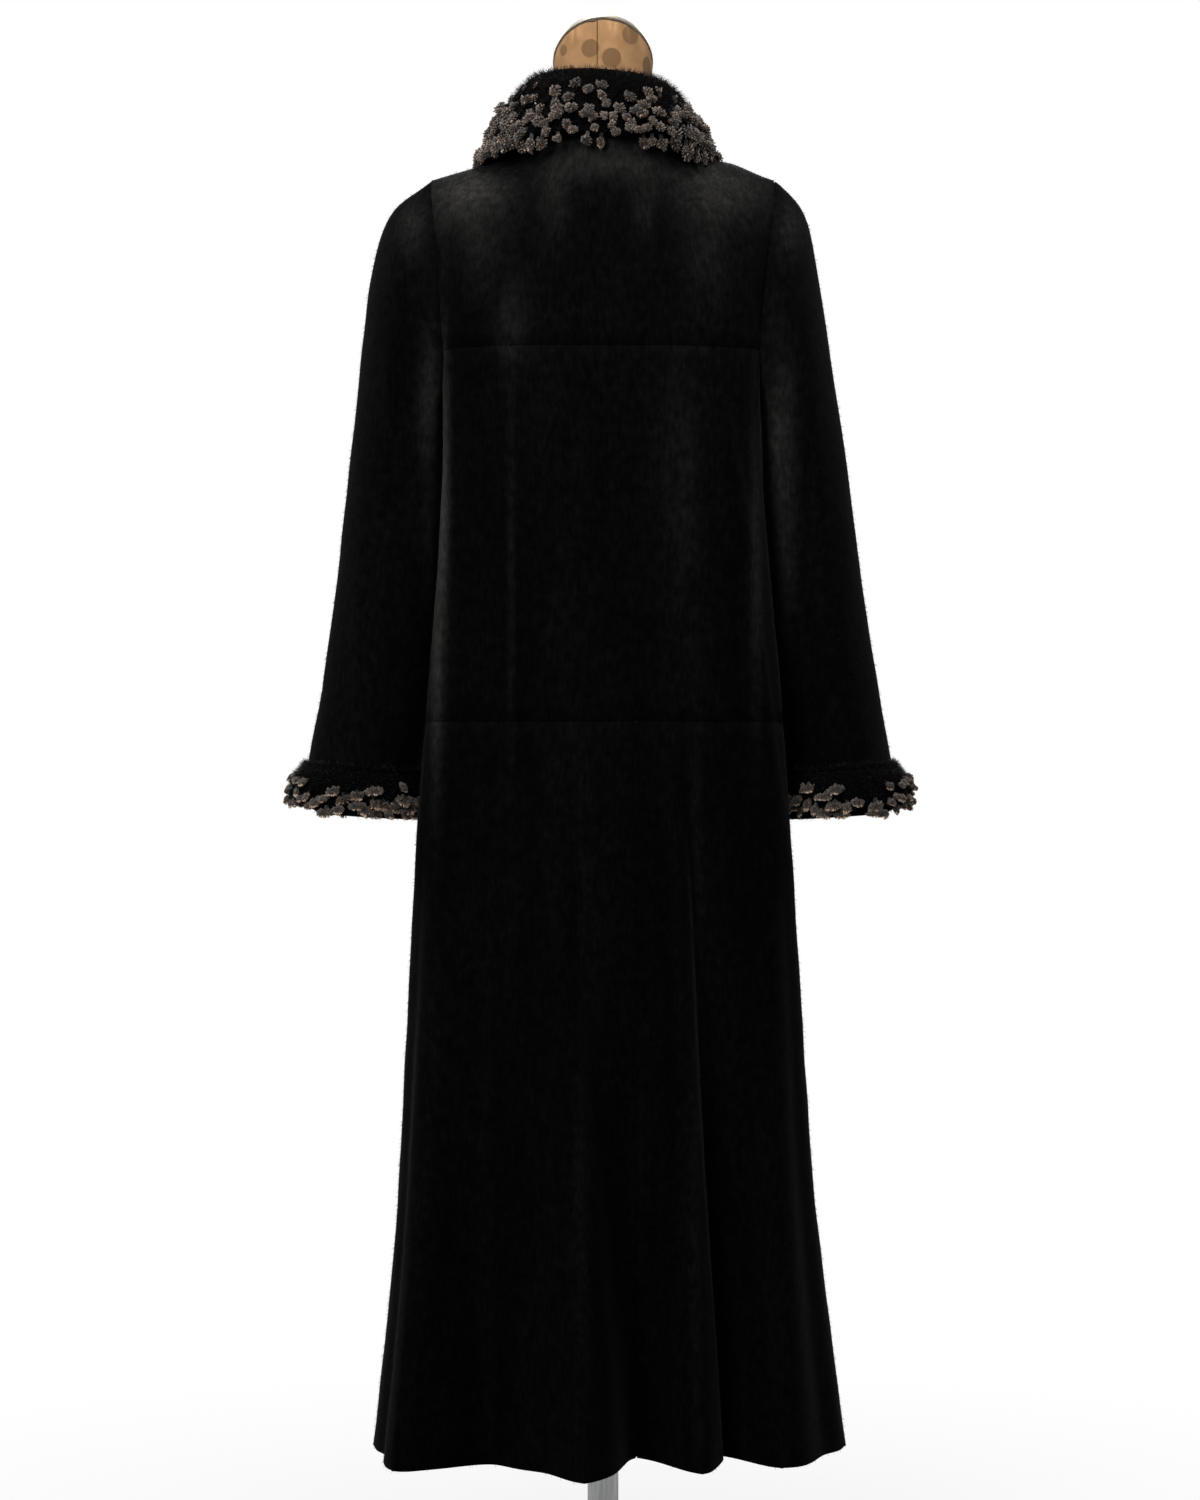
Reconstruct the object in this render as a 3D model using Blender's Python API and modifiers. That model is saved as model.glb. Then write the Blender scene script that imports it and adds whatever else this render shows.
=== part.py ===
"""A long sheared mink coat on a limbless dress form with a pole and a round foot.

Metres, +Z up. The coat's front faces -Y and its wearer's left is +X. The origin is the
middle of the foot's underside, on the floor. Each cloth piece is a thin wall: an outer
face worked out from the tables below, and an inner face one wall thickness inside it.
"""

import math
from collections import namedtuple

import bmesh
import bpy
from mathutils import Vector

# ---------------------------------------------------------------- driving sizes, in metres
WALL = 0.005  # pelt, sheared pile and lining together
SEAM_GAP = 0.0003
HEM_Z = 0.140
LOWER_SEAM_Z = 0.890
YOKE_SEAM_Z = 1.270
UNDERARM_Z = 1.218
SHOULDER_X = 0.178
SHOULDER_SLOPE = 0.295
NECK_HALF = 0.072
NECK_BACK = 0.075
NECK_FRONT = 0.080
NECK_SIDE_Z = 1.484
NECK_BACK_RISE = 0.012
NECK_FRONT_DROP = 0.055
LAP = 0.0040  # how far the fronts part where they overlap

BOXY = 0.75  # the power of sine and cosine in a cross-section; 1 is an ellipse
ARM_BACK_TURN = 71.0  # the armhole's lower corners, in degrees from the centre back
ARM_FRONT_TURN = 124.0
LAP_STARTS_TURN = 166.0
LAP_FULL_TURN = 174.0
ROOF_RUN = 0.200  # the nominal height that the shoulders take up above the yoke seam
ROOF_CLIMB = 0.667  # how soon a column climbs, and how late it leans over the shoulder
ROOF_LEAN = 1.25
FOLD_GROWTH = 1.15

SKIRT_ROWS = 9
MIDDLE_ROWS = 5
ROOF_ROWS = 7

FOOT_RADIUS = 0.190
POLE_RADIUS = 0.016
FORM_BOTTOM_Z = 0.850
NECK_CUT_Z = 1.5735  # the slanted neck cut's height at the middle of the neck
NECK_CUT_SLOPE = 0.74
PLATE_THICKNESS = 0.0030

# ---------------------------------------------------------------- tables
# The coat's plain cross-sections: half widths to each side, depths behind and in front of
# the middle plane, and how far back the widest point lies.
Section = namedtuple("Section", "z left right back front side_y")
SECTIONS = [
    Section(1.270, 0.170, 0.166, 0.113, 0.120, 0.030),
    Section(1.210, 0.162, 0.160, 0.112, 0.122, 0.035),
    Section(1.100, 0.166, 0.166, 0.108, 0.122, 0.045),
    Section(0.990, 0.174, 0.176, 0.106, 0.122, 0.045),
    Section(0.890, 0.182, 0.184, 0.108, 0.125, 0.045),
    Section(0.770, 0.192, 0.193, 0.112, 0.130, 0.040),
    Section(0.640, 0.198, 0.201, 0.116, 0.137, 0.035),
    Section(0.520, 0.205, 0.209, 0.119, 0.144, 0.030),
    Section(0.400, 0.211, 0.2175, 0.122, 0.150, 0.025),
    Section(0.270, 0.222, 0.234, 0.124, 0.158, 0.018),
    Section(HEM_Z, 0.238, 0.2515, 0.125, 0.165, 0.010),
]

# Vertical lines of the coat, each a crest, a valley or a seam, in order of turn from the
# centre back. Turns are in degrees above the lower seam and at the hem, rise is how far the
# line stands out of the plain section at the hem, fades_at is the height where it is flat,
# and columns is how many mesh columns follow before the next line.
Lane = namedtuple("Lane", "name turn hem_turn rise fades_at columns")
BACK_LANES = [
    Lane("side seam right", -90.0, -90.0, 0.000, 0.75, 3),
    Lane("arm corner right", -ARM_BACK_TURN, -66.0, -0.012, 0.75, 3),
    Lane("fold right", -60.0, -37.0, 0.026, 0.91, 4),
    Lane("valley of the sharp fold", -24.0, -25.0, -0.045, 0.89, 5),
    Lane("sharp fold", -15.0, -15.6, 0.034, 0.95, 4),
    Lane("centre-back seam", -6.5, -4.5, -0.040, 0.89, 5),
    Lane("deep fold", 10.3, 1.8, 0.080, 0.89, 4),
    Lane("faint ridge", 25.5, 10.0, 0.020, 1.15, 3),
    Lane("dip left", 38.0, 22.3, -0.004, 0.85, 4),
    Lane("fold left", 58.0, 45.6, 0.052, 0.85, 3),
    Lane("arm corner left", ARM_BACK_TURN, 68.0, -0.006, 0.75, 3),
    Lane("side seam left", 90.0, 90.0, 0.000, 0.75, 0),
]
CENTRE_BACK_LANE = 5
FRONT_LANES = [
    Lane("side seam", 90.0, 90.0, 0.000, 0.75, 4),
    Lane("arm corner", ARM_FRONT_TURN, 119.0, 0.010, 0.83, 3),
    Lane("front valley", 138.0, 134.0, -0.026, 0.80, 3),
    Lane("front fold", 152.0, 149.0, 0.028, 0.80, 3),
    Lane("neck point", 165.5, 164.0, 0.000, 0.80, 2),
    Lane("centre front", 180.0, 180.0, 0.000, 0.80, 1),
    Lane("front edge", 186.0, 186.0, 0.000, 0.80, 0),
]
RIGHT_FRONT_RISE = 1.3  # the right front's folds are deeper than the left's
# The yoke's columns on each side of the centre back; 16.4 ends at the neck's corner.
YOKE_HALF_TURNS = [5.5, 11.0, 16.4, 25.5, 35.0, 44.0, 53.0, 62.0, ARM_BACK_TURN]

# Rings round a sleeve, from the armhole to the mouth: the outer edge's height and its place
# on each side, the inner edge's, half the depth and the middle from front to back, and how
# far the ring has turned from the armhole's own shape to an oval.
Ring = namedtuple("Ring", "outer_z outer_left outer_right inner_z inner_x half_depth middle_y oval")
SLEEVE_RINGS = [
    Ring(1.453, 0.1785, 0.1785, 1.218, 0.1610, 0.068, 0.000, 0.00),
    Ring(1.446, 0.1870, 0.1880, 1.210, 0.1648, 0.069, 0.000, 0.15),
    Ring(1.429, 0.2110, 0.2030, 1.198, 0.1650, 0.070, -0.003, 0.40),
    Ring(1.404, 0.2270, 0.2120, 1.182, 0.1642, 0.070, -0.008, 0.65),
    Ring(1.368, 0.2355, 0.2170, 1.160, 0.1634, 0.070, -0.014, 0.85),
    Ring(1.325, 0.2430, 0.2260, 1.130, 0.1636, 0.070, -0.020, 1.00),
    Ring(1.275, 0.2490, 0.2340, 1.095, 0.1642, 0.071, -0.026, 1.00),
    Ring(1.200, 0.2585, 0.2475, 1.055, 0.1654, 0.072, -0.032, 1.00),
    Ring(1.110, 0.2690, 0.2595, 0.995, 0.1690, 0.073, -0.037, 1.00),
    Ring(1.015, 0.2800, 0.2735, 0.935, 0.1760, 0.075, -0.040, 1.00),
    Ring(0.920, 0.2930, 0.2870, 0.875, 0.1845, 0.077, -0.042, 1.00),
    Ring(0.848, 0.3080, 0.3010, 0.841, 0.1905, 0.078, -0.043, 1.00),
    Ring(0.824, 0.3115, 0.3050, 0.817, 0.1940, 0.078, -0.043, 1.00),
]
CUFF_TOP_RING = 11
SLEEVE_BOXY = 0.92
# A long crease down the back of the right sleeve.
CREASE_TURN, CREASE_WIDTH, CREASE_RISE = 92.0, 24.0, 0.0045
CREASE_FIRST_RING, CREASE_LAST_RING = 6, 10

# The collar's middle line, from the neck seam up the stand, over the crown and down the
# fall: the share of the way out to the fall's edge, the lean towards the neck, the share of
# the height, the share of the inner half of the wall that fits inside the fold, and whether
# tufts stand on it.
Station = namedtuple("Station", "out lean up inner tufted")
COLLAR_STATIONS = [
    Station(0.00, 0.0000, 0.00, 1.00, False),
    Station(0.00, 0.0060, 0.45, 1.00, False),
    Station(0.00, 0.0110, 0.86, 0.40, False),
    Station(0.00, 0.0090, 1.00, 0.10, False),
    Station(0.06, 0.0060, 0.97, 0.10, False),
    Station(0.24, 0.0000, 0.78, 0.70, True),
    Station(0.46, 0.0000, 0.58, 1.00, True),
    Station(0.68, 0.0000, 0.42, 1.00, True),
    Station(0.88, 0.0000, 0.26, 1.00, True),
    Station(1.00, 0.0000, 0.00, 1.00, True),
]
COLLAR_WALL = 0.008
COLLAR_COLUMNS = 56
COLLAR_END_TURN = 174.0  # the two ends stop just short of the centre front
COLLAR_CORNER_TURN = 26.0  # the turn over which each end is rounded off
COLLAR_FALL_HALF = 0.1195
COLLAR_FALL_BACK = 0.104
COLLAR_FALL_FRONT = 0.122
COLLAR_LEAN_LEFT = 0.0065  # the collar sits a little towards the wearer's left
COLLAR_CROWN_Z = 1.555
COLLAR_CROWN_TILT = 0.003
COLLAR_CROWN_FRONT_DROP = 0.053
COLLAR_FALL_BACK_Z = 1.486
COLLAR_REST = 0.0045  # how far the fall's edge stays above the shoulder seam
COLLAR_FALL_FRONT_Z = 1.433
COLLAR_SEAM_LIFT = 0.0022  # the stand starts just above the coat, and clear of the overlap
COLLAR_SEAM_FRONT_LIFT = 0.0095
TUFT_RISE = 0.0022

# A cuff's cross-section as a closed loop: rings down from its top, and the share of its
# thickness out from the sleeve.
CuffPoint = namedtuple("CuffPoint", "down out tufted")
CUFF_LOOP = [
    CuffPoint(0.00, 0.00, False),
    CuffPoint(1.00, 0.00, False),
    CuffPoint(1.85, 0.00, False),
    CuffPoint(2.12, 0.20, False),
    CuffPoint(2.18, 0.50, False),
    CuffPoint(1.95, 0.88, True),
    CuffPoint(1.40, 1.00, True),
    CuffPoint(0.85, 0.96, True),
    CuffPoint(0.35, 0.78, False),
    CuffPoint(0.00, 0.40, False),
]
CUFF_THICKNESS = 0.0140
CUFF_OUTER_EXTRA = 0.0060  # thicker at the outer end, pressed thinner next to the body
CUFF_CLEARANCE = 0.0006

# The padded form: half width, depths behind and in front of the middle plane, and shape.
FormRow = namedtuple("FormRow", "z half back front boxy")
FORM_ROWS = [
    FormRow(FORM_BOTTOM_Z, 0.138, 0.088, 0.104, 0.90),
    FormRow(0.865, 0.145, 0.093, 0.109, 0.88),
    FormRow(0.930, 0.150, 0.095, 0.111, 0.88),
    FormRow(1.010, 0.142, 0.088, 0.100, 0.90),
    FormRow(1.110, 0.118, 0.074, 0.086, 0.92),
    FormRow(1.190, 0.128, 0.082, 0.098, 0.90),
    FormRow(1.270, 0.144, 0.092, 0.110, 0.86),
    FormRow(1.350, 0.146, 0.086, 0.092, 0.88),
    FormRow(1.400, 0.143, 0.066, 0.058, 0.96),
    FormRow(1.428, 0.132, 0.050, 0.040, 1.00),
    FormRow(1.445, 0.107, 0.045, 0.036, 1.00),
    FormRow(1.460, 0.073, 0.047, 0.039, 1.00),
    FormRow(1.474, 0.058, 0.050, 0.045, 1.00),
    FormRow(1.495, 0.0535, 0.0515, 0.0515, 1.00),
    FormRow(1.528, 0.0515, 0.0515, 0.0515, 1.00),
]
FORM_COLUMNS = 32
NECK_RADIUS = 0.0515

# ---------------------------------------------------------------- materials
Finish = namedtuple("Finish", "name colour roughness metallic")
SHEARED = Finish("sheared_mink", (0.006, 0.0055, 0.0055, 1), 0.85, 0)
TUFTED = Finish("tufted_mink", (0.075, 0.058, 0.048, 1), 0.90, 0)
FORM_CLOTH = Finish("form_cloth", (0.46, 0.30, 0.17, 1), 0.80, 0)
PLATE_METAL = Finish("plate_metal", (0.62, 0.57, 0.50, 1), 0.30, 1)
POLE_METAL = Finish("pole_metal", (0.55, 0.55, 0.56, 1), 0.25, 1)
FOOT_PAINT = Finish("foot_paint", (0.02, 0.02, 0.02, 1), 0.45, 0)


def clear_scene():
    for obj in list(bpy.data.objects):
        bpy.data.objects.remove(obj, do_unlink=True)


def material_of(finish):
    material = bpy.data.materials.get(finish.name) or bpy.data.materials.new(finish.name)
    material.use_nodes = True
    shader = material.node_tree.nodes["Principled BSDF"]
    shader.inputs["Base Color"].default_value = finish.colour
    shader.inputs["Roughness"].default_value = finish.roughness
    shader.inputs["Metallic"].default_value = finish.metallic
    return material


def make_body(name, points, faces, finish, smooth_angle=math.radians(50)):
    """One closed body from points and faces, with its faces turned outwards."""
    shape = bmesh.new()
    corners = [shape.verts.new(point) for point in points]
    for face in faces:
        shape.faces.new([corners[i] for i in face])
    bmesh.ops.recalc_face_normals(shape, faces=shape.faces)
    mesh = bpy.data.meshes.new(name)
    shape.to_mesh(mesh)
    shape.free()
    mesh.shade_smooth()
    mesh.set_sharp_from_angle(angle=smooth_angle)
    mesh.materials.append(material_of(finish))
    obj = bpy.data.objects.new(name, mesh)
    PIECES.objects.link(obj)
    return obj


def blend(low, high, share):
    return low + (high - low) * share


def clamped(value):
    return min(max(value, 0.0), 1.0)


def eased(share):
    return (1 - math.cos(math.pi * clamped(share))) / 2


def smooth_value(rows, column, z):
    """A column's value at a height, on a smooth curve through the table's rows."""
    rows = sorted(rows)
    heights = [row.z for row in rows]
    values = [getattr(row, column) for row in rows]
    z = min(max(z, heights[0]), heights[-1])
    i = max(k for k in range(len(rows) - 1) if heights[k] <= z)

    def slope(k):
        before, after = max(k - 1, 0), min(k + 1, len(rows) - 1)
        return (values[after] - values[before]) / (heights[after] - heights[before])

    step = heights[i + 1] - heights[i]
    t = (z - heights[i]) / step
    return (
        (2 * t**3 - 3 * t**2 + 1) * values[i]
        + (t**3 - 2 * t**2 + t) * step * slope(i)
        + (3 * t**2 - 2 * t**3) * values[i + 1]
        + (t**3 - t**2) * step * slope(i + 1)
    )


def boxy_oval(turn, half, back, front, side_y, power):
    """A point of an oval with squared corners; turn 0 is the back and +90 the wearer's left."""
    sine, cosine = math.sin(turn), math.cos(turn)
    reach = back - side_y if cosine > 0 else front + side_y
    x = math.copysign(half * abs(sine) ** power, sine)
    y = side_y + math.copysign(reach * abs(cosine) ** power, cosine)
    return x, y


# ---------------------------------------------------------------- the coat's body
def plain_outline(turn, z):
    values = {column: smooth_value(SECTIONS, column, z) for column in Section._fields[1:]}
    half = values["left"] if math.sin(turn) > 0 else values["right"]
    x, y = boxy_oval(turn, half, values["back"], values["front"], values["side_y"], BOXY)
    return Vector((x, y, z))


def outward(turn, z):
    """The level direction out of the plain outline."""
    step = math.radians(1.5)
    along = plain_outline(turn + step, z) - plain_outline(turn - step, z)
    return Vector((-along.y, along.x, 0)).normalized()


def top_edge(x, at_back):
    """Where a column ends: on the neck seam within the neck's width, else on the shoulder seam."""
    across = abs(x)
    if across >= NECK_HALF:
        return Vector((x, 0, NECK_SIDE_Z - SHOULDER_SLOPE * (across - NECK_HALF)))
    round_neck = math.sqrt(1 - (across / NECK_HALF) ** 2)
    if at_back:
        return Vector((x, NECK_BACK * round_neck, NECK_SIDE_Z + NECK_BACK_RISE * round_neck))
    return Vector((x, -NECK_FRONT * round_neck, NECK_SIDE_Z - NECK_FRONT_DROP * round_neck**2))


def coat_point(turn, height, rise=0.0):
    """A point of the coat's outer face. Past the yoke seam, height runs on over the shoulder."""
    foot = plain_outline(turn, min(height, YOKE_SEAM_Z))
    climb = (height - YOKE_SEAM_Z) / ROOF_RUN
    if climb <= 0:
        return foot + outward(turn, height) * rise if rise else foot
    at_back = math.cos(turn) > 0
    corner = math.radians(ARM_BACK_TURN if at_back else ARM_FRONT_TURN)
    corner_x = abs(plain_outline(math.copysign(corner, math.sin(turn)), YOKE_SEAM_Z).x)
    widening = SHOULDER_X / corner_x - 1
    angle = clamped(climb) * math.pi / 2
    up = math.sin(angle) ** ROOF_CLIMB
    inward = math.cos(angle) ** ROOF_LEAN if climb < 1 else 0.0
    top = top_edge(foot.x * (1 + widening), at_back)
    x = foot.x * (1 + widening * up)
    return Vector((x, blend(top.y, foot.y, inward), blend(YOKE_SEAM_Z, top.z, up)))


def lane_place(lanes, position, z):
    """The turn and the fold's rise of a column at a height; whole positions are the table's lines."""
    i = min(max(int(position), 0), len(lanes) - 2)
    part = position - i
    down = clamped((LOWER_SEAM_Z - z) / (LOWER_SEAM_Z - HEM_Z))
    pair = lanes[i : i + 2]
    turns = [blend(lane.turn, lane.hem_turn, down) for lane in pair]
    rises = [
        lane.rise * clamped((lane.fades_at - z) / (lane.fades_at - HEM_Z)) ** FOLD_GROWTH
        for lane in pair
    ]
    return math.radians(blend(*turns, part)), blend(*rises, eased(part))


def lane_point(lanes, position, height):
    turn, rise = lane_place(lanes, position, height)
    return coat_point(turn, height, rise)


def lane_normal(lanes, position, height):
    """The outward direction of the outer face, the same on both sides of a seam."""
    across, upright = 0.06, 0.002
    last = len(lanes) - 1
    before, after = max(position - across, 0), min(position + across, last)
    low, high = height - upright, min(height + upright, YOKE_SEAM_Z + ROOF_RUN)
    along = lane_point(lanes, after, height) - lane_point(lanes, before, height)
    up = lane_point(lanes, position, high) - lane_point(lanes, position, low)
    direction = up.cross(along)
    x = lane_point(lanes, position, height).x
    if height >= YOKE_SEAM_Z + ROOF_RUN and abs(x) > NECK_HALF - 0.002:
        # Along the shoulder seam the back and front walls stand side by side.
        direction = Vector((math.copysign(SHOULDER_SLOPE, x), 0, 1))
    return direction.normalized()


def armhole_top(turn):
    """How high the cloth reaches under the arm."""
    part = (abs(math.degrees(turn)) - ARM_BACK_TURN) / (ARM_FRONT_TURN - ARM_BACK_TURN)
    if not 0 < part < 1:
        return YOKE_SEAM_Z
    return YOKE_SEAM_Z - (YOKE_SEAM_Z - UNDERARM_Z) * math.sin(math.pi * part) ** 0.6


def lane_columns(lanes, first=0, last=None):
    last = len(lanes) - 1 if last is None else last
    steps = [
        i + k / lanes[i].columns for i in range(first, last) for k in range(lanes[i].columns)
    ]
    return steps + [last]


def mirrored(lanes, rise_share):
    """The same lines on the wearer's right, still in order of turn."""
    return [
        lane._replace(
            turn=-lane.turn,
            hem_turn=-lane.hem_turn,
            rise=lane.rise * rise_share,
            columns=before.columns,
        )
        for lane, before in zip(lanes[::-1], lanes[-2::-1] + lanes[-1:])
    ]


def even_steps(low, high, count):
    return [blend(low, high, k / count) for k in range(count + 1)]


def lap_share(turn):
    """How much of the overlap's parting a column takes."""
    degrees = abs(math.degrees(turn))
    return eased((degrees - LAP_STARTS_TURN) / (LAP_FULL_TURN - LAP_STARTS_TURN))


def body_columns(lanes, positions, heights, roof, lap=0.0):
    """Columns of (outer point, outward direction), from the lowest row up.

    Columns under the arm stop at the armhole, and the others go on over the roof rows.
    """
    columns = []
    for position in positions:
        turn = lane_place(lanes, position, YOKE_SEAM_Z)[0]
        share = (armhole_top(turn) - LOWER_SEAM_Z) / (YOKE_SEAM_Z - LOWER_SEAM_Z)
        column_heights = [
            z if z <= LOWER_SEAM_Z else LOWER_SEAM_Z + (z - LOWER_SEAM_Z) * share for z in heights
        ]
        degrees = abs(math.degrees(turn))
        if degrees <= ARM_BACK_TURN + 0.01 or degrees >= ARM_FRONT_TURN - 0.01:
            column_heights = column_heights + roof
        column = []
        for height in column_heights:
            direction = lane_normal(lanes, position, height)
            point = lane_point(lanes, position, height) + direction * lap * lap_share(turn)
            column.append((point, direction))
        columns.append(column)
    return columns


# ---------------------------------------------------------------- walls from columns
def sheet_faces(columns, closed=False):
    """Numbers the points of a sheet column by column, and lists its four-cornered faces."""
    starts, count = [], 0
    for column in columns:
        starts.append(count)
        count += len(column)
    faces = []
    for i in range(len(columns) if closed else len(columns) - 1):
        after = (i + 1) % len(columns)
        for j in range(min(len(columns[i]), len(columns[after])) - 1):
            a, b = starts[i] + j, starts[after] + j
            faces.append((a, a + 1, b + 1, b))
    return faces


def rim_edges(faces):
    """Edges that only one face has, in that face's direction, with the face."""
    owners = {}
    for face in faces:
        for a, b in zip(face, face[1:] + face[:1]):
            owners.setdefault(frozenset((a, b)), []).append((a, b, face))
    return [owned[0] for owned in owners.values() if len(owned) == 1]


def draw_in(points, faces, by):
    """Moves the rim's points into the sheet, so that neighbours at a seam stay apart."""
    pulls = {}
    for a, b, face in rim_edges(faces):
        middle = (points[a] + points[b]) / 2
        centre = sum((points[i] for i in face), Vector()) / len(face)
        along = (points[b] - points[a]).normalized()
        inward = centre - middle
        inward = (inward - along * inward.dot(along)).normalized()
        for i in (a, b):
            pulls.setdefault(i, []).append(inward)
    moved = list(points)
    for i, directions in pulls.items():
        mean = sum(directions, Vector()) / len(directions)
        moved[i] = points[i] + mean * (by / max(mean.length_squared, 0.3))
    return moved


def make_wall(name, columns, finish, closed=False, thickness=WALL):
    """A wall whose outer face is the sheet, and whose inner face lies one thickness inside."""
    faces = sheet_faces(columns, closed)
    sheet = [point for column in columns for point, _ in column]
    directions = [direction for column in columns for _, direction in column]
    outer = draw_in(sheet, faces, SEAM_GAP / 2)
    inner = [point - direction * thickness for point, direction in zip(outer, directions)]
    count = len(outer)
    inside = [tuple(i + count for i in reversed(face)) for face in faces]
    rim = [(b, a, a + count, b + count) for a, b, _ in rim_edges(faces)]
    return make_body(name, outer + inner, faces + inside + rim, finish)


def make_back():
    roof = [YOKE_SEAM_Z + ROOF_RUN * k / ROOF_ROWS for k in range(ROOF_ROWS + 1)]
    skirt = even_steps(HEM_Z, LOWER_SEAM_Z, SKIRT_ROWS)
    middle = even_steps(LOWER_SEAM_Z, YOKE_SEAM_Z, MIDDLE_ROWS)
    last = len(BACK_LANES) - 1
    for name, first, final in (
        ("back_skirt_right", 0, CENTRE_BACK_LANE),
        ("back_skirt_left", CENTRE_BACK_LANE, last),
    ):
        positions = lane_columns(BACK_LANES, first, final)
        make_wall(name, body_columns(BACK_LANES, positions, skirt, []), SHEARED)
    positions = lane_columns(BACK_LANES)
    make_wall("back_middle", body_columns(BACK_LANES, positions, middle, []), SHEARED)
    yoke_turns = [-turn for turn in reversed(YOKE_HALF_TURNS)] + [0.0] + YOKE_HALF_TURNS
    yoke_lanes = [Lane("yoke", turn, turn, 0.0, YOKE_SEAM_Z, 1) for turn in yoke_turns]
    positions = list(range(len(yoke_lanes)))
    make_wall("back_yoke", body_columns(yoke_lanes, positions, [], roof), SHEARED)


def front_sides():
    """Each front's name, its lines in order of turn, and its side of the overlap."""
    return (
        ("front_left", FRONT_LANES, -LAP),
        ("front_right", mirrored(FRONT_LANES, RIGHT_FRONT_RISE), LAP),
    )


def make_fronts():
    roof = [YOKE_SEAM_Z + ROOF_RUN * k / ROOF_ROWS for k in range(1, ROOF_ROWS + 1)]
    heights = even_steps(HEM_Z, LOWER_SEAM_Z, SKIRT_ROWS)
    heights += even_steps(LOWER_SEAM_Z, YOKE_SEAM_Z, MIDDLE_ROWS)[1:]
    for name, lanes, lap in front_sides():
        positions = lane_columns(lanes)
        make_wall(name, body_columns(lanes, positions, heights, roof, lap), SHEARED)


# ---------------------------------------------------------------- sleeves and cuffs
def armhole_loop(side):
    """The armhole's points from the shoulder down the back, under the arm and up the front."""
    roof = [YOKE_SEAM_Z + ROOF_RUN * k / ROOF_ROWS for k in range(ROOF_ROWS, -1, -1)]
    back, front = math.radians(ARM_BACK_TURN), math.radians(ARM_FRONT_TURN)
    quarter = math.radians(90)
    under = even_steps(back, quarter, 3)[1:] + even_steps(quarter, front, 4)[1:-1]
    loop = [coat_point(side * back, height) for height in roof]
    loop += [coat_point(side * turn, armhole_top(turn)) for turn in under]
    loop += [coat_point(side * front, height) for height in reversed(roof[1:])]
    return loop


def ring_frame(ring, side):
    """A ring's centre, its half reach from the inner to the outer edge, and its half depth."""
    outer_x = ring.outer_left if side > 0 else ring.outer_right
    outer = Vector((side * outer_x, ring.middle_y, ring.outer_z))
    inner = Vector((side * ring.inner_x, ring.middle_y, ring.inner_z))
    return (outer + inner) / 2, (outer - inner) / 2, Vector((0, ring.half_depth, 0))


def rings_at(row):
    """The sleeve's ring at a row, between two of the table's or on past the last."""
    i = min(int(row), len(SLEEVE_RINGS) - 2)
    return Ring(*(blend(a, b, row - i) for a, b in zip(SLEEVE_RINGS[i], SLEEVE_RINGS[i + 1])))


def loop_shares(side):
    """Each armhole point as shares of the first ring's reach and depth, and its odd offset."""
    centre, reach, depth = ring_frame(SLEEVE_RINGS[0], side)
    shares = []
    for point in armhole_loop(side):
        from_centre = point - centre
        along = from_centre.dot(reach) / reach.length_squared
        deep = from_centre.dot(depth) / depth.length_squared
        shares.append((along, deep, from_centre - reach * along - depth * deep))
    return shares


def sleeve_turns(side):
    """How far round the sleeve each of its columns runs, from the shoulder by the back."""
    return [math.atan2(deep, along) % (2 * math.pi) for along, deep, _ in loop_shares(side)]


def oval_point(row, side, turn):
    centre, reach, depth = ring_frame(rings_at(row), side)
    cosine, sine = math.cos(turn), math.sin(turn)
    along = math.copysign(abs(cosine) ** SLEEVE_BOXY, cosine)
    deep = math.copysign(abs(sine) ** SLEEVE_BOXY, sine)
    return centre + reach * along + depth * deep


def crease(row, side, turn):
    """The rise of the long crease on the right sleeve, zero elsewhere."""
    if side > 0 or not CREASE_FIRST_RING <= row <= CREASE_LAST_RING:
        return 0.0
    near = 1 - abs(math.degrees(turn) - CREASE_TURN) / CREASE_WIDTH
    return CREASE_RISE * eased(near)


def sleeve_point(row, side, turn, share):
    """A point of the sleeve's outer face, turning from the armhole's shape to an oval."""
    oval = oval_point(row, side, turn)
    oval.y += crease(row, side, turn)
    ring = SLEEVE_RINGS[row]
    if ring.oval == 1:
        return oval
    along, deep, odd = share
    centre, reach, depth = ring_frame(ring, side)
    armhole = centre + reach * along + depth * deep + odd
    return armhole.lerp(oval, ring.oval)


def grid_directions(grid):
    """The outward direction at each point of a closed tube of columns."""
    count = len(grid)
    middle = [sum((column[j] for column in grid), Vector()) / count for j in range(len(grid[0]))]
    directions = []
    for i, column in enumerate(grid):
        before, after = grid[i - 1], grid[(i + 1) % count]
        row_directions = []
        for j, point in enumerate(column):
            along = after[j] - before[j]
            down = column[min(j + 1, len(column) - 1)] - column[max(j - 1, 0)]
            direction = along.cross(down).normalized()
            if direction.dot(point - middle[j]) < 0:
                direction.negate()
            row_directions.append(direction)
        directions.append(row_directions)
    return directions


def make_sleeve(name, side):
    shares = loop_shares(side)
    turns = sleeve_turns(side)
    rows = range(len(SLEEVE_RINGS))
    grid = [[sleeve_point(row, side, t, s) for row in rows] for t, s in zip(turns, shares)]
    directions = grid_directions(grid)
    centre = ring_frame(SLEEVE_RINGS[0], side)[0]
    for column, column_directions in zip(grid, directions):
        # At the armhole the wall stands in the seam's own plane, clear of the body's edge.
        level = Vector((0, column[0].y - centre.y, column[0].z - centre.z))
        column_directions[0] = level.normalized()
    columns = [list(zip(*pair)) for pair in zip(grid, directions)]
    make_wall(name, columns, SHEARED, closed=True)


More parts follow.
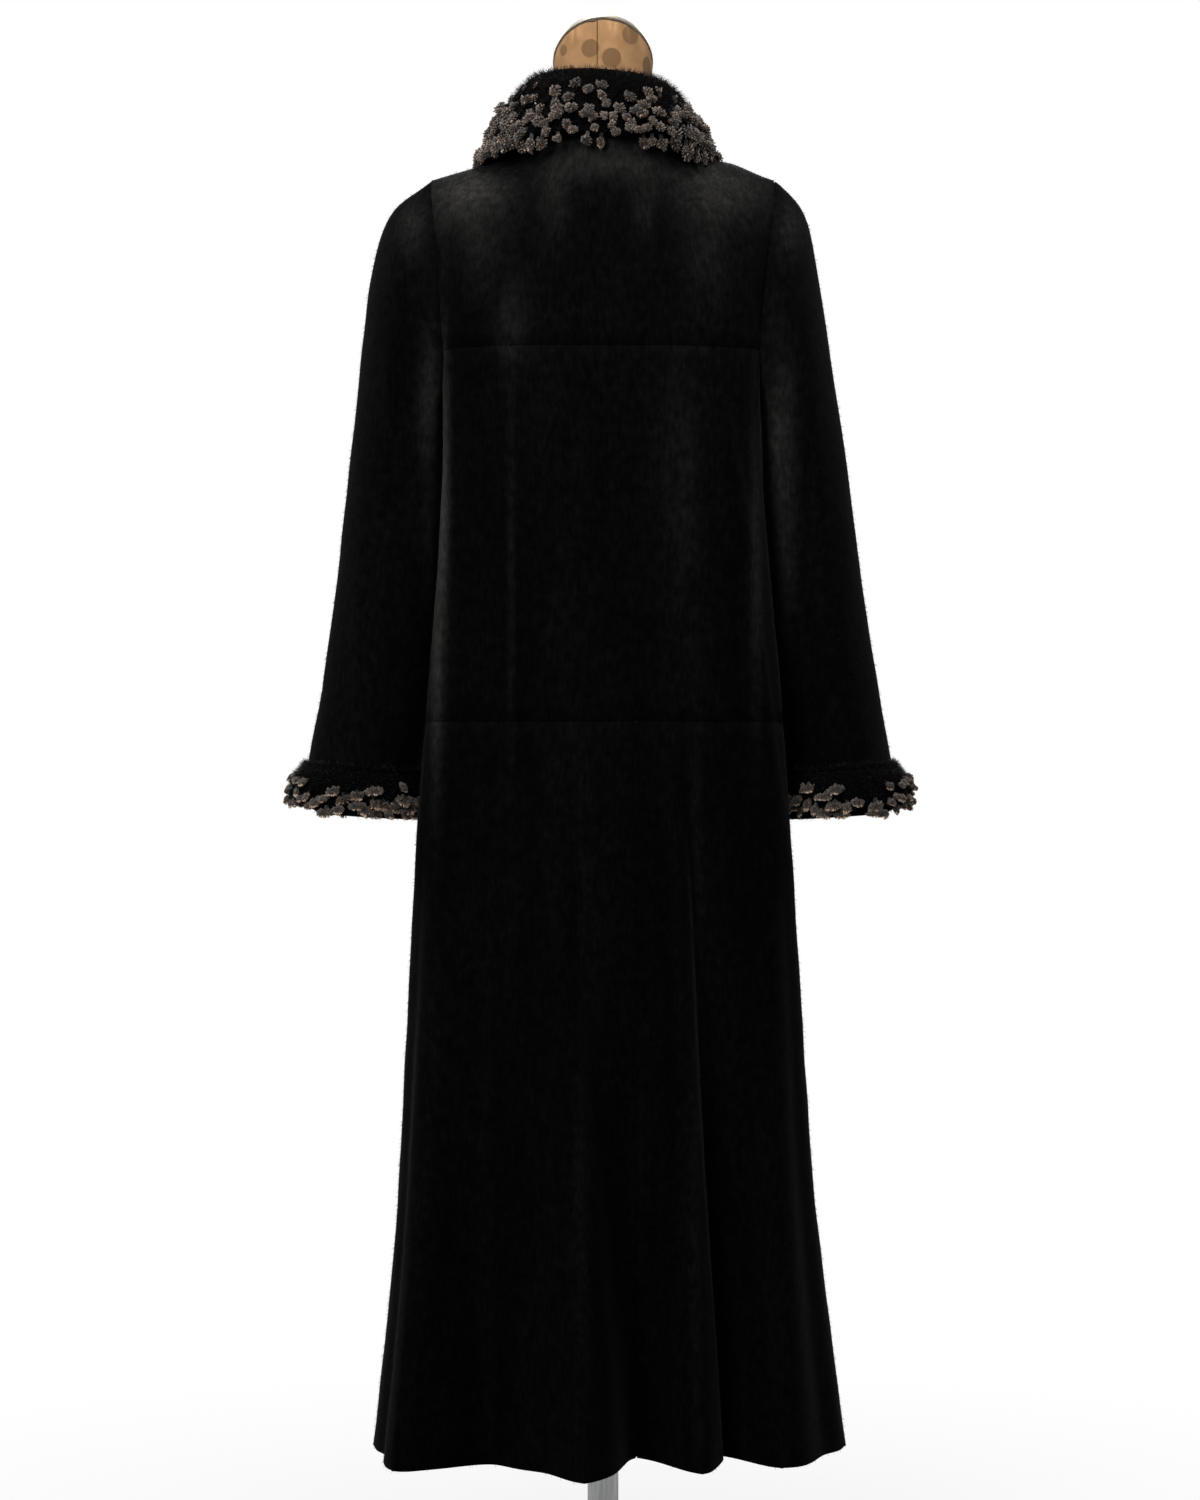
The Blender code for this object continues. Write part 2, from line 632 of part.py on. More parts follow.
def make_cuff(name, side):
    turns = sleeve_turns(side)
    spaced = []
    for turn, after in zip(turns, turns[1:] + [turns[0] + 2 * math.pi]):
        after += 2 * math.pi if after < turn else 0
        spaced += [turn, (turn + after) / 2]
    loops = []
    for k, turn in enumerate(spaced):
        thickness = CUFF_THICKNESS + CUFF_OUTER_EXTRA * math.cos(turn)
        loop = []
        for j, station in enumerate(CUFF_LOOP):
            row = CUFF_TOP_RING + station.down
            base = oval_point(row, side, turn)
            along = oval_point(row, side, turn + 0.05) - oval_point(row, side, turn - 0.05)
            down = oval_point(row + 0.5, side, turn) - oval_point(row, side, turn)
            out = along.cross(down).normalized()
            if out.dot(base - ring_frame(rings_at(row), side)[0]) < 0:
                out.negate()
            tuft = TUFT_RISE * (-1) ** (k + j) if station.tufted else 0.0
            loop.append(base + out * (CUFF_CLEARANCE + thickness * station.out + tuft))
        loops.append(loop)
    make_loft(name, loops, TUFTED, closed=True)


def make_loft(name, loops, finish, closed):
    """A body through closed loops of equal length, capped at both ends unless it is a ring."""
    points = [point for loop in loops for point in loop]
    size, count = len(loops[0]), len(loops)
    faces = []
    for i in range(count if closed else count - 1):
        after = (i + 1) % count
        for j in range(size):
            k = (j + 1) % size
            faces.append((i * size + j, i * size + k, after * size + k, after * size + j))
    if not closed:
        faces += [tuple(range(size)), tuple((count - 1) * size + j for j in range(size))]
    return make_body(name, points, faces, finish)


# ---------------------------------------------------------------- collar
def collar_ring(turn, half, back, front, shift):
    depth = back if math.cos(turn) > 0 else front
    return Vector((shift + half * math.sin(turn), depth * math.cos(turn), 0))


def collar_section(turn):
    """The collar's closed cross-section at one place round the neck."""
    front = max(-math.cos(turn), 0)
    behind = max(math.cos(turn), 0)
    seam = collar_ring(turn, NECK_HALF, NECK_BACK, NECK_FRONT, 0)
    seam.z = NECK_SIDE_Z + NECK_BACK_RISE * behind - NECK_FRONT_DROP * front**2
    seam.z += COLLAR_SEAM_LIFT + COLLAR_SEAM_FRONT_LIFT * front
    edge = collar_ring(turn, COLLAR_FALL_HALF, COLLAR_FALL_BACK, COLLAR_FALL_FRONT, COLLAR_LEAN_LEFT)
    side_x = abs(COLLAR_LEAN_LEFT + math.copysign(COLLAR_FALL_HALF, math.sin(turn)))
    side_z = top_edge(side_x - COLLAR_WALL, True).z + COLLAR_REST
    edge.z = blend(side_z, COLLAR_FALL_BACK_Z, eased(behind))
    edge.z -= (side_z - COLLAR_FALL_FRONT_Z) * front
    crown_z = COLLAR_CROWN_Z + COLLAR_CROWN_TILT * math.sin(turn)
    crown_z -= COLLAR_CROWN_FRONT_DROP * eased(front)
    to_end = (COLLAR_END_TURN - abs(math.degrees(turn))) / COLLAR_CORNER_TURN
    kept = blend(0.55, 1.0, math.sqrt(1 - (1 - clamped(to_end)) ** 2))
    across = edge - seam
    out = Vector((across.x, across.y, 0)).normalized()
    line = []
    for station in COLLAR_STATIONS:
        share = station.out * kept
        height = 1 - (1 - station.up) * kept if station.out else station.up
        base = seam + across * share - out * station.lean
        base.x += COLLAR_LEAN_LEFT * 0.6 * station.up * (1 - station.out)
        base.z = blend(base.z, crown_z, height)
        line.append(base)
    return line, out


def make_collar():
    end = math.radians(COLLAR_END_TURN)
    loops = []
    for i, turn in enumerate(even_steps(-end, end, COLLAR_COLUMNS)):
        line, out = collar_section(turn)
        outer, inner = [], []
        for j, (point, station) in enumerate(zip(line, COLLAR_STATIONS)):
            ahead = line[min(j + 1, len(line) - 1)] - line[max(j - 1, 0)]
            level = ahead.dot(out)
            # Square to the middle line, on the side that faces away from the fold's inside.
            away = (out * -ahead.z + Vector((0, 0, level))).normalized()
            tuft = TUFT_RISE * (-1) ** (i + j) if station.tufted else 0.0
            outer.append(point + away * (COLLAR_WALL / 2 + tuft))
            inner.append(point - away * (COLLAR_WALL / 2 * station.inner))
        loops.append(outer + inner[::-1])
    make_loft("collar", loops, TUFTED, closed=False)


# ---------------------------------------------------------------- the form and its stand
def make_form():
    loops = []
    turns = [2 * math.pi * k / FORM_COLUMNS for k in range(FORM_COLUMNS)]
    for row in FORM_ROWS:
        loop = [boxy_oval(t, row.half, row.back, row.front, 0, row.boxy) for t in turns]
        loops.append([Vector((x, y, row.z)) for x, y in loop])
    neck = [Vector((NECK_RADIUS * math.sin(t), NECK_RADIUS * math.cos(t), 0)) for t in turns]
    loops.append([Vector((p.x, p.y, NECK_CUT_Z + NECK_CUT_SLOPE * p.y)) for p in neck])
    make_loft("form_body", loops, FORM_CLOTH, closed=False)


def finish_primitive(name, finish, smooth_angle=math.radians(40)):
    """Names the active primitive, applies its scale and moves it to the pieces' collection."""
    obj = bpy.context.object
    obj.name = name
    obj.data.name = name
    bpy.ops.object.transform_apply(location=False, rotation=False, scale=True)
    obj.data.materials.append(material_of(finish))
    obj.data.shade_smooth()
    obj.data.set_sharp_from_angle(angle=smooth_angle)
    for collection in list(obj.users_collection):
        collection.objects.unlink(obj)
    PIECES.objects.link(obj)
    return obj


def make_neck_plate():
    tilt = math.atan(NECK_CUT_SLOPE)
    lift = (SEAM_GAP + PLATE_THICKNESS / 2) / math.cos(tilt)
    bpy.ops.mesh.primitive_cylinder_add(
        vertices=48,
        radius=NECK_RADIUS,
        depth=PLATE_THICKNESS,
        location=(0, 0, NECK_CUT_Z + lift),
        rotation=(tilt, 0, 0),
    )
    bpy.context.object.scale.y = 1 / math.cos(tilt)
    plate = finish_primitive("form_neck_plate", PLATE_METAL)
    bevel = plate.modifiers.new("round rim", "BEVEL")
    bevel.width = 0.0008
    bevel.segments = 1


def make_stand():
    hub_top = 0.052
    profile = [
        (0.0, hub_top),
        (0.022, hub_top),
        (0.026, hub_top - 0.004),
        (0.028, 0.028),
        (0.040, 0.021),
        (FOOT_RADIUS - 0.020, 0.014),
        (FOOT_RADIUS - 0.004, 0.010),
        (FOOT_RADIUS, 0.006),
        (FOOT_RADIUS, 0.0),
        (0.0, 0.0),
    ]
    mesh = bpy.data.meshes.new("stand_foot")
    edges = [(i, i + 1) for i in range(len(profile) - 1)]
    mesh.from_pydata([(x, 0, z) for x, z in profile], edges, [])
    mesh.materials.append(material_of(FOOT_PAINT))
    foot = bpy.data.objects.new("stand_foot", mesh)
    PIECES.objects.link(foot)
    turned = foot.modifiers.new("turned", "SCREW")
    turned.steps = turned.render_steps = 40
    turned.use_merge_vertices = True
    turned.merge_threshold = 0.0001
    turned.use_smooth_shade = True
    pole_bottom, pole_top = hub_top + SEAM_GAP, FORM_BOTTOM_Z - SEAM_GAP
    bpy.ops.mesh.primitive_cylinder_add(
        vertices=32,
        radius=POLE_RADIUS,
        depth=pole_top - pole_bottom,
        location=(0, 0, (pole_top + pole_bottom) / 2),
    )
    finish_primitive("stand_pole", POLE_METAL)


clear_scene()
PIECES = bpy.data.collections.new("mink_coat_on_form")
bpy.context.scene.collection.children.link(PIECES)
make_back()
make_fronts()
for sleeve_side, side_name in ((1, "left"), (-1, "right")):
    make_sleeve(f"sleeve_{side_name}", sleeve_side)
    make_cuff(f"cuff_{side_name}", sleeve_side)
make_collar()
make_form()
make_neck_plate()
make_stand()
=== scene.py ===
# %% [markdown]
# # A long sheared mink coat on a dress form
#
# The coat is seen from behind. Sheared mink is a pelt whose hair is cut to a few
# millimetres, so it reads as thick black velvet. The collar and the cuffs keep their long
# black hair and carry clipped brown-grey tufts. Under the coat stands a limbless dress form.
#
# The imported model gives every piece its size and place. This lesson refines those pieces,
# grows the fur on them and gives each surface its finish.

import math
from collections import namedtuple

import bmesh
import bpy
import numpy as np
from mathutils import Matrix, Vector
from mathutils.bvhtree import BVHTree


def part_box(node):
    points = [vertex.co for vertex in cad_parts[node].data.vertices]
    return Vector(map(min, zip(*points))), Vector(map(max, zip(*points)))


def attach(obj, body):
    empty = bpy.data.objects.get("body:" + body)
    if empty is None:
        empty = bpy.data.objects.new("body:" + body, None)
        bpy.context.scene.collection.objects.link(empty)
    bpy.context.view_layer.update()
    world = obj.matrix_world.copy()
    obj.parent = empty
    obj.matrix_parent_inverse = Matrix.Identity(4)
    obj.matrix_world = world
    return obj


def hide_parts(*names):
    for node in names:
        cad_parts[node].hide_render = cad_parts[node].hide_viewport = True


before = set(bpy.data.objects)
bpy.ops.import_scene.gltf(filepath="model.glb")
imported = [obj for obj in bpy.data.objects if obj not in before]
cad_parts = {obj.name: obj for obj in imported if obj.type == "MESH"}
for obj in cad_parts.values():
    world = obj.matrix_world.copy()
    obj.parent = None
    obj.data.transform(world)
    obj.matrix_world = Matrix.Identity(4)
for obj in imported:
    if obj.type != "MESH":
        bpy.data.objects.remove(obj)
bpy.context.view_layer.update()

# %% [markdown]
# ## The camera
#
# The photograph was taken from far away with a long lens, level, at about the height of the
# hip. Its frame is 1200 by 1500 pixels and one pixel is 1.04 mm at the coat's middle plane,
# so the distance and the frame's height give the lens. The back of the coat faces +Y, and
# the camera stands there.

# %% Camera
PIXEL = 0.00104  # metres for a pixel of the photograph, at the coat's middle plane
FRAME_WIDTH, FRAME_HEIGHT = 1200, 1500  # pixels
MIDDLE_PIXEL_X = 603  # the coat's middle line in the photograph
CAMERA_DISTANCE, CAMERA_HEIGHT = 3.8, 0.861
SENSOR = 36.0  # millimetres over the frame's height

camera_data = bpy.data.cameras.new("camera")
camera_data.sensor_width = SENSOR
camera_data.lens = SENSOR * CAMERA_DISTANCE / (PIXEL * FRAME_HEIGHT)
camera = bpy.data.objects.new("camera", camera_data)
bpy.context.scene.collection.objects.link(camera)
side_shift = (MIDDLE_PIXEL_X - FRAME_WIDTH / 2) * PIXEL
camera.location = (side_shift, CAMERA_DISTANCE, CAMERA_HEIGHT)
camera.rotation_euler = (math.radians(90), 0, math.radians(180))
bpy.context.scene.camera = camera
print("lens", round(camera_data.lens, 1), "mm")

# %% [markdown]
# ## Small helpers
#
# Colours are written as they look on a screen and turned into the linear numbers that
# shaders work with. One helper adds a shader node together with its settings and inputs. An
# input is a plain value, the output that feeds it, or a node whose first output does.

# %% Helpers for finishes


def linear(hex_colour):
    """A screen colour such as "#8a6d4f" as linear red, green, blue and alpha."""
    channels = [int(hex_colour[i : i + 2], 16) / 255 for i in (1, 3, 5)]
    steps = [c / 12.92 if c <= 0.04045 else ((c + 0.055) / 1.055) ** 2.4 for c in channels]
    return steps + [1.0]


def feed(node, inputs):
    """Sets or links a node's inputs."""
    for name, value in inputs.items():
        if isinstance(value, bpy.types.Node):
            value = next(output for output in value.outputs if output.enabled)
        if isinstance(value, bpy.types.NodeSocket):
            node.id_data.links.new(value, node.inputs[name])
        else:
            node.inputs[name].default_value = value


def add(tree, kind, inputs, **settings):
    """A shader node with its settings and inputs."""
    node = tree.nodes.new("ShaderNode" + kind)
    for name, value in settings.items():
        setattr(node, name, value)
    feed(node, inputs)
    return node


def new_finish(name, **shader_values):
    """A material with a Principled shader whose plain sockets are set, and its node tree."""
    finish = bpy.data.materials.new(name)
    finish.use_nodes = True
    shader = finish.node_tree.nodes["Principled BSDF"]
    feed(shader, {socket.replace("_", " "): value for socket, value in shader_values.items()})
    return finish, finish.node_tree, shader


def set_ramp(ramp, stops):
    """Sets a colour ramp's stops, each a place from 0 to 1 and a screen colour."""
    elements = ramp.color_ramp.elements
    while len(elements) < len(stops):
        elements.new(0.5)
    for element, (place, colour) in zip(elements, stops):
        element.position = place
        element.color = linear(colour)


# %% [markdown]
# ## A white studio
#
# The photograph is cut out on white. So the world is white to the camera, but gives the coat
# only a little light. A light path node tells the two apart.

# %% World
bpy.context.scene.view_settings.view_transform = "Standard"
AMBIENT = 0.06  # what the world gives the coat, where 1 is what the camera sees

world = bpy.data.worlds.new("studio")
bpy.context.scene.world = world
world.use_nodes = True
sky = world.node_tree
sky.nodes.clear()
seen = add(sky, "LightPath", {})
sky_level = add(sky, "MapRange", {"Value": seen, "To Min": AMBIENT, "To Max": 1.0})
sky_light = add(sky, "Background", {"Color": linear("#ffffff"), "Strength": sky_level})
add(sky, "OutputWorld", {"Surface": sky_light})
print("world", world.name)

# %% [markdown]
# The floor is a wide plane. Near the foot it is a matt grey that takes a faint shadow, and
# further out it fades to the same white as the world, so that no horizon shows.

# %% Floor
FLOOR_WIDTH = 60
NEAR_WHITE_SHARE = 0.86  # of the white, near the foot
FADE_FROM, FADE_TO = 0.4, 1.3  # metres from the foot

bpy.ops.object.select_all(action="DESELECT")
bpy.ops.mesh.primitive_plane_add(size=FLOOR_WIDTH, location=(0, 0, 0))
floor = bpy.context.object
floor.name = "floor"
floor_finish = bpy.data.materials.new("pale studio floor")
floor_finish.use_nodes = True
floor_tree = floor_finish.node_tree
floor_tree.nodes.clear()
floor_place = add(floor_tree, "TexCoord", {}).outputs["Object"]
from_foot = add(floor_tree, "VectorMath", {0: floor_place}, operation="LENGTH")
whitening = add(
    floor_tree, "MapRange",
    {
        "Value": from_foot, "From Min": FADE_FROM, "From Max": FADE_TO,
        "To Min": NEAR_WHITE_SHARE, "To Max": 1.0,
    },
)
floor_seen = add(floor_tree, "LightPath", {})
floor_share = add(floor_tree, "Math", {0: floor_seen, 1: whitening}, operation="MULTIPLY")
floor_matt = add(floor_tree, "BsdfDiffuse", {"Color": linear("#aaa9a7")})
floor_white = add(floor_tree, "Emission", {"Color": linear("#ffffff"), "Strength": 1.0})
floor_mix = add(floor_tree, "MixShader", {0: floor_share, 1: floor_matt, 2: floor_white})
add(floor_tree, "OutputMaterial", {"Surface": floor_mix})
floor.data.materials.append(floor_finish)
print("floor", FLOOR_WIDTH, "m wide")

# %% [markdown]
# Black fur shows its form only by soft light from above: the shoulders and the upper back
# turn towards the overhead softbox and go grey, and everything below stays nearly black. Two
# rim lamps stand on the far side of the coat and draw its edges, a wide fill by the camera
# opens up the tufts, and one lamp lights the coat's front, which the photograph doesn't show.

# %% Lamps
Lamp = namedtuple("Lamp", "name place aim size watts")
LAMPS = [
    Lamp("overhead softbox", (0.0, 1.0, 3.1), (0.0, 0.05, 1.40), 1.1, 62),
    Lamp("left rim", (2.4, -0.9, 2.3), (0.0, 0.0, 1.25), 1.0, 34),
    Lamp("right rim", (-2.4, -0.9, 2.3), (0.0, 0.0, 1.25), 1.0, 34),
    Lamp("fill by the camera", (1.4, 3.4, 2.4), (0.0, 0.0, 1.2), 1.6, 105),
    Lamp("front fill", (0.0, -3.6, 2.6), (0.0, 0.0, 1.0), 1.8, 130),
]
for lamp in LAMPS:
    light = bpy.data.lights.new(lamp.name, "AREA")
    light.size = lamp.size
    light.energy = lamp.watts
    holder = bpy.data.objects.new(lamp.name, light)
    holder.location = lamp.place
    aim = Vector(lamp.aim) - Vector(lamp.place)
    holder.rotation_euler = aim.to_track_quat("-Z", "Y").to_euler()
    bpy.context.scene.collection.objects.link(holder)
print(len(LAMPS), "lamps")

# %% [markdown]
# ## The sheared pelt
#
# Sheared mink keeps its underfur, about 5 mm of fine black hair that stands close and lies
# slightly downwards. It has no gloss of its own: light catches it only where the hair is
# seen end on or from the side, which is what a sheen lobe gives. The hair parts in soft
# streaks a few millimetres wide that run down the pelt, and whole pelts differ a little in
# tone. Both come from noise that is stretched along the height. An attribute named brushed,
# written later, turns the pile from near black to grey. It does this mostly as painted
# highlights where light falls on the pile, and partly where the nap is brushed the other way.

# %% Sheared mink
STREAK = 0.0035  # metres across a streak of the pile
MOTTLE = 0.011  # across a cloudy spot
PELT_WIDTH = 0.055  # across one of the pelts that the coat is pieced from
HAIR_GRAIN = 0.0012  # coarser than a hair, so that it shows
NAP_STRETCH, PELT_STRETCH = 0.3, 0.12  # of the height that the noise sees, to draw it out

mink, mink_tree, mink_shader = new_finish(
    "sheared mink pelt, black",
    Roughness=0.8, Specular_IOR_Level=0.015, Sheen_Weight=0.022, Sheen_Roughness=0.32,
    Sheen_Tint=linear("#c4c3c2"),
)
place = add(mink_tree, "TexCoord", {}).outputs["Object"]
nap = add(mink_tree, "Mapping", {"Vector": place, "Scale": (1, 1, NAP_STRETCH)})
drawn = add(mink_tree, "Mapping", {"Vector": place, "Scale": (1, 1, PELT_STRETCH)})
streaks = add(mink_tree, "TexNoise", {"Vector": nap, "Scale": 1 / STREAK, "Detail": 2})
mottles = add(mink_tree, "TexNoise", {"Vector": place, "Scale": 1 / MOTTLE, "Detail": 4})
pelts = add(mink_tree, "TexNoise", {"Vector": drawn, "Scale": 1 / PELT_WIDTH, "Detail": 2})
grain = add(mink_tree, "TexNoise", {"Vector": nap, "Scale": 1 / HAIR_GRAIN, "Detail": 1})
tone = add(mink_tree, "Math", {0: streaks, 1: mottles}, operation="MULTIPLY")
pelt_tone = add(mink_tree, "Math", {0: tone, 1: pelts}, operation="MULTIPLY")
dark_pile = add(mink_tree, "ValToRGB", {"Fac": pelt_tone})
set_ramp(dark_pile, [(0.06, "#010101"), (0.24, "#080707")])
# Grey pile: painted highlights where light falls on the pile, partly nap brushed the other way.
highlight_pile = add(mink_tree, "ValToRGB", {"Fac": tone})
set_ramp(highlight_pile, [(0.10, "#2a2a29"), (0.42, "#4c4b49")])
# This attribute holds the painted highlights, and partly also brushed nap.
brushed = add(mink_tree, "Attribute", {}, attribute_name="brushed")
pile_colour = add(
    mink_tree,
    "Mix",
    {"Factor": brushed.outputs["Fac"], 6: dark_pile, 7: highlight_pile},
    data_type="RGBA",
)
feed(mink_shader, {"Base Color": pile_colour})
soft_bump = add(mink_tree, "Bump", {"Height": mottles, "Strength": 0.35, "Distance": 0.0016})
fine_bump = add(
    mink_tree, "Bump", {"Height": grain, "Strength": 0.7, "Distance": 0.0005, "Normal": soft_bump}
)
feed(mink_shader, {"Normal": fine_bump})
print(mink.name)

# %% [markdown]
# ## Hair and tufts
#
# A hair takes its colour from how far along it a point lies. The strands carry that in an
# attribute named tone. Its red runs from 0 at the root to 1 at the tip. Its green is one
# number for each strand: in the long hair the highest few are grey, and in a tuft it goes
# from grey to brown. Its blue is above 0 only on the strands at a tuft's far rim, whose
# clipped ends look pale and peachy.
#
# Guard hair is smooth and a little glossy.

# %% Long black hair
GREY_FROM, GREY_TO = 0.93, 0.98  # the highest greens, so about one hair in twenty

guard, guard_tree, guard_shader = new_finish(
    "long mink guard hair, black",
    Roughness=0.55, Specular_IOR_Level=0.06, Sheen_Weight=0.012, Sheen_Roughness=0.4,
    Sheen_Tint=linear("#c9c6c4"),
)
guard_tone = add(guard_tree, "Attribute", {}, attribute_name="tone")
guard_parts = add(guard_tree, "SeparateColor", {"Color": guard_tone})
guard_ramp = add(guard_tree, "ValToRGB", {"Fac": guard_parts.outputs["Red"]})
set_ramp(guard_ramp, [(0.2, "#020202"), (1.0, "#0d0c0b")])
grey_hair = add(
    guard_tree,
    "MapRange",
    {"Value": guard_parts.outputs["Green"], "From Min": GREY_FROM, "From Max": GREY_TO},
)
guard_colour = add(
    guard_tree, "Mix", {"Factor": grey_hair, 6: guard_ramp, 7: linear("#34302d")}, data_type="RGBA"
)
feed(guard_shader, {"Base Color": guard_colour})
print(guard.name)

# %% [markdown]
# A tuft's hairs are clipped, so the eye meets their cut ends, which are matt and have no
# gloss. They are near black at the root and lightest at the end.

# %% Clipped tufts
tuft, tuft_tree, tuft_shader = new_finish(
    "clipped mink tuft, brown-grey",
    Roughness=0.8, Specular_IOR_Level=0.15, Sheen_Weight=0.1, Sheen_Roughness=0.5,
)
tuft_tone = add(tuft_tree, "Attribute", {}, attribute_name="tone")
tuft_parts = add(tuft_tree, "SeparateColor", {"Color": tuft_tone})
grey_lock, brown_lock, peach_tip = (
    add(tuft_tree, "ValToRGB", {"Fac": tuft_parts.outputs["Red"]}) for _ in range(3)
)
set_ramp(grey_lock, [(0.1, "#030303"), (0.6, "#171412"), (1.0, "#3b3430")])
set_ramp(brown_lock, [(0.1, "#060504"), (0.6, "#2a221d"), (1.0, "#75675c")])
set_ramp(peach_tip, [(0.3, "#18100b"), (0.7, "#6e4d3a"), (1.0, "#ecd2bd")])
lock_colour = add(
    tuft_tree,
    "Mix",
    {"Factor": tuft_parts.outputs["Green"], 6: grey_lock, 7: brown_lock},
    data_type="RGBA",
)
tuft_colour = add(
    tuft_tree,
    "Mix",
    {"Factor": tuft_parts.outputs["Blue"], 6: lock_colour, 7: peach_tip},
    data_type="RGBA",
)
feed(tuft_shader, {"Base Color": tuft_colour})
print(tuft.name)

# %% [markdown]
# ## The dress form's jersey
#
# The form is padded and covered with tan cotton jersey that is printed with round brown dots.
# The dots on the neck are placed one by one, as the photograph shows them at the back. Those
# on the torso, which the coat hides, come from a Voronoi pattern, whose cells give scattered
# points. A dot is where a point lies nearer to its middle than the dot's radius.

# %% The jersey's dots
DOT_SPACING = 0.030
DOT_SHARE = 0.34  # a scattered dot's radius as a share of the spacing
NECK_DOTS_FROM = 1.525
NECK_DOTS = [  # middle and radius
    ((0.0135, 0.0500, 1.5815), 0.0095), ((-0.0090, 0.0508, 1.5715), 0.0102),
    ((-0.0290, 0.0430, 1.5965), 0.0100), ((-0.0465, 0.0230, 1.5680), 0.0098),
    ((0.0415, 0.0310, 1.5830), 0.0060), ((0.0500, 0.0050, 1.5520), 0.0095),
    ((0.0420, -0.0290, 1.5450), 0.0100), ((0.0150, -0.0490, 1.5330), 0.0085),
    ((-0.0200, -0.0475, 1.5380), 0.0100), ((-0.0440, -0.0260, 1.5400), 0.0090),
]

jersey, jersey_tree, jersey_shader = new_finish(
    "cotton jersey, tan with dots",
    Roughness=0.9, Specular_IOR_Level=0.1, Sheen_Weight=0.02, Sheen_Roughness=0.5,
)
jersey_place = add(jersey_tree, "TexCoord", {}).outputs["Object"]
split = add(jersey_tree, "SeparateXYZ", {"Vector": jersey_place}).outputs
cells = add(
    jersey_tree,
    "TexVoronoi",
    {"Vector": jersey_place, "Scale": 1 / DOT_SPACING, "Randomness": 0.8},
)
scattered = add(jersey_tree, "Math", {0: cells, 1: 1 / DOT_SHARE}, operation="MULTIPLY")
on_neck = add(jersey_tree, "Math", {0: split["Z"], 1: NECK_DOTS_FROM}, operation="GREATER_THAN")
# The distance to the nearest dot's middle, in its radii. On the neck no scattered dot counts.
nearest = add(jersey_tree, "Math", {0: scattered, 1: on_neck}, operation="ADD")
for centre, radius in NECK_DOTS:
    away = add(jersey_tree, "VectorMath", {0: jersey_place, 1: centre}, operation="DISTANCE")
    radii = add(jersey_tree, "Math", {0: away, 1: 1 / radius}, operation="MULTIPLY")
    nearest = add(jersey_tree, "Math", {0: nearest, 1: radii}, operation="MINIMUM")
dot_edge = add(jersey_tree, "MapRange", {"Value": nearest, "From Min": 0.95, "From Max": 1.05})
print(len(NECK_DOTS), "dots on the neck")

# %% [markdown]
# Three colours go over each other: the dots on the mottled ground, the dark line of the seam
# that runs down the neck's back, and a painted shadow where the cloth is tucked in under the
# slanted plate. That painted shadow follows the plate's plane.

# %% The jersey's colours
SEAM_X, SEAM_HALF = 0.006, 0.0007
PLATE_RADIUS, PLATE_THICKNESS, PLATE_SLOPE = 0.0521, 0.0030, 0.74
# The cloth is painted with a shadow this far below the plate.
PLATE_SHADOW_REACH = 0.0013  # how far below the plate the cloth is dark

cloth_shade = add(jersey_tree, "TexNoise", {"Vector": jersey_place, "Scale": 60, "Detail": 4})
ground = add(jersey_tree, "ValToRGB", {"Fac": cloth_shade})
set_ramp(ground, [(0.3, "#836343"), (0.7, "#967452")])
from_seam = add(jersey_tree, "Math", {0: split["X"], 1: SEAM_X}, operation="SUBTRACT")
seam_distance = add(jersey_tree, "Math", {0: from_seam}, operation="ABSOLUTE")
seam_shade = add(
    jersey_tree,
    "MapRange",
    {"Value": seam_distance, "From Min": SEAM_HALF * 0.4, "From Max": SEAM_HALF},
)
plate_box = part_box("form_neck_plate")
cut_height = (plate_box[0].z + plate_box[1].z - PLATE_THICKNESS) / 2
cut_plane = add(
    jersey_tree, "Math", {0: split["Y"], 1: PLATE_SLOPE, 2: cut_height}, operation="MULTIPLY_ADD"
)
below_cut = add(jersey_tree, "Math", {0: cut_plane, 1: split["Z"]}, operation="SUBTRACT")
# A painted shadow under the plate, fading out further below it.
painted_plate_shadow = add(
    jersey_tree,
    "MapRange",
    {"Value": below_cut, "From Min": PLATE_SHADOW_REACH, "From Max": PLATE_SHADOW_REACH * 1.6},
)
cloth_colour = ground
# The last colour is the painted shadow under the plate.
for level, dark in ((dot_edge, "#6b5036"), (seam_shade, "#4a3524"), (painted_plate_shadow, "#24180f")):
    cloth_colour = add(
        jersey_tree, "Mix", {"Factor": level, 6: linear(dark), 7: cloth_colour}, data_type="RGBA"
    )
feed(jersey_shader, {"Base Color": cloth_colour})
print("seam at", SEAM_X, "and plate slope", PLATE_SLOPE)

# %% [markdown]
# Jersey is knitted, so fine ribs run up it, and the seam is pulled in a little. Both are
# only bump. The ribs are drawn 1.2 mm apart, coarser than the real knit, so that they show.

# %% The jersey's ribs
KNIT_RIB = 0.0012
WAVES_PER_SCALE = 0.314  # a wave texture at scale 1 has a rib every 0.314 m

ribs = add(jersey_tree, "TexWave", {"Vector": jersey_place, "Scale": WAVES_PER_SCALE / KNIT_RIB})
rib_bump = add(
    jersey_tree, "Bump", {"Height": ribs.outputs["Fac"], "Strength": 0.35, "Distance": 0.0003}
)
seam_bump = add(
    jersey_tree,
    "Bump",
    {"Height": seam_shade, "Strength": 0.8, "Distance": 0.0006, "Normal": rib_bump},
)
feed(jersey_shader, {"Normal": seam_bump})
print(jersey.name)

# %% [markdown]
# ## Underfur, metal and paint
#
# These are simple surfaces with a fine grain: the felted underfur between the long hairs, the
# neck plate's warm brushed steel, the pole's brushed tube and the foot's powder coat. Noise
# gives the grain, in the tone and as bump. Stretched along one axis it becomes brush marks,
# and round it is the orange peel of powder coat. The marks are about 1 mm wide, coarser than
# real ones, so that they show.

# %% Grained finishes


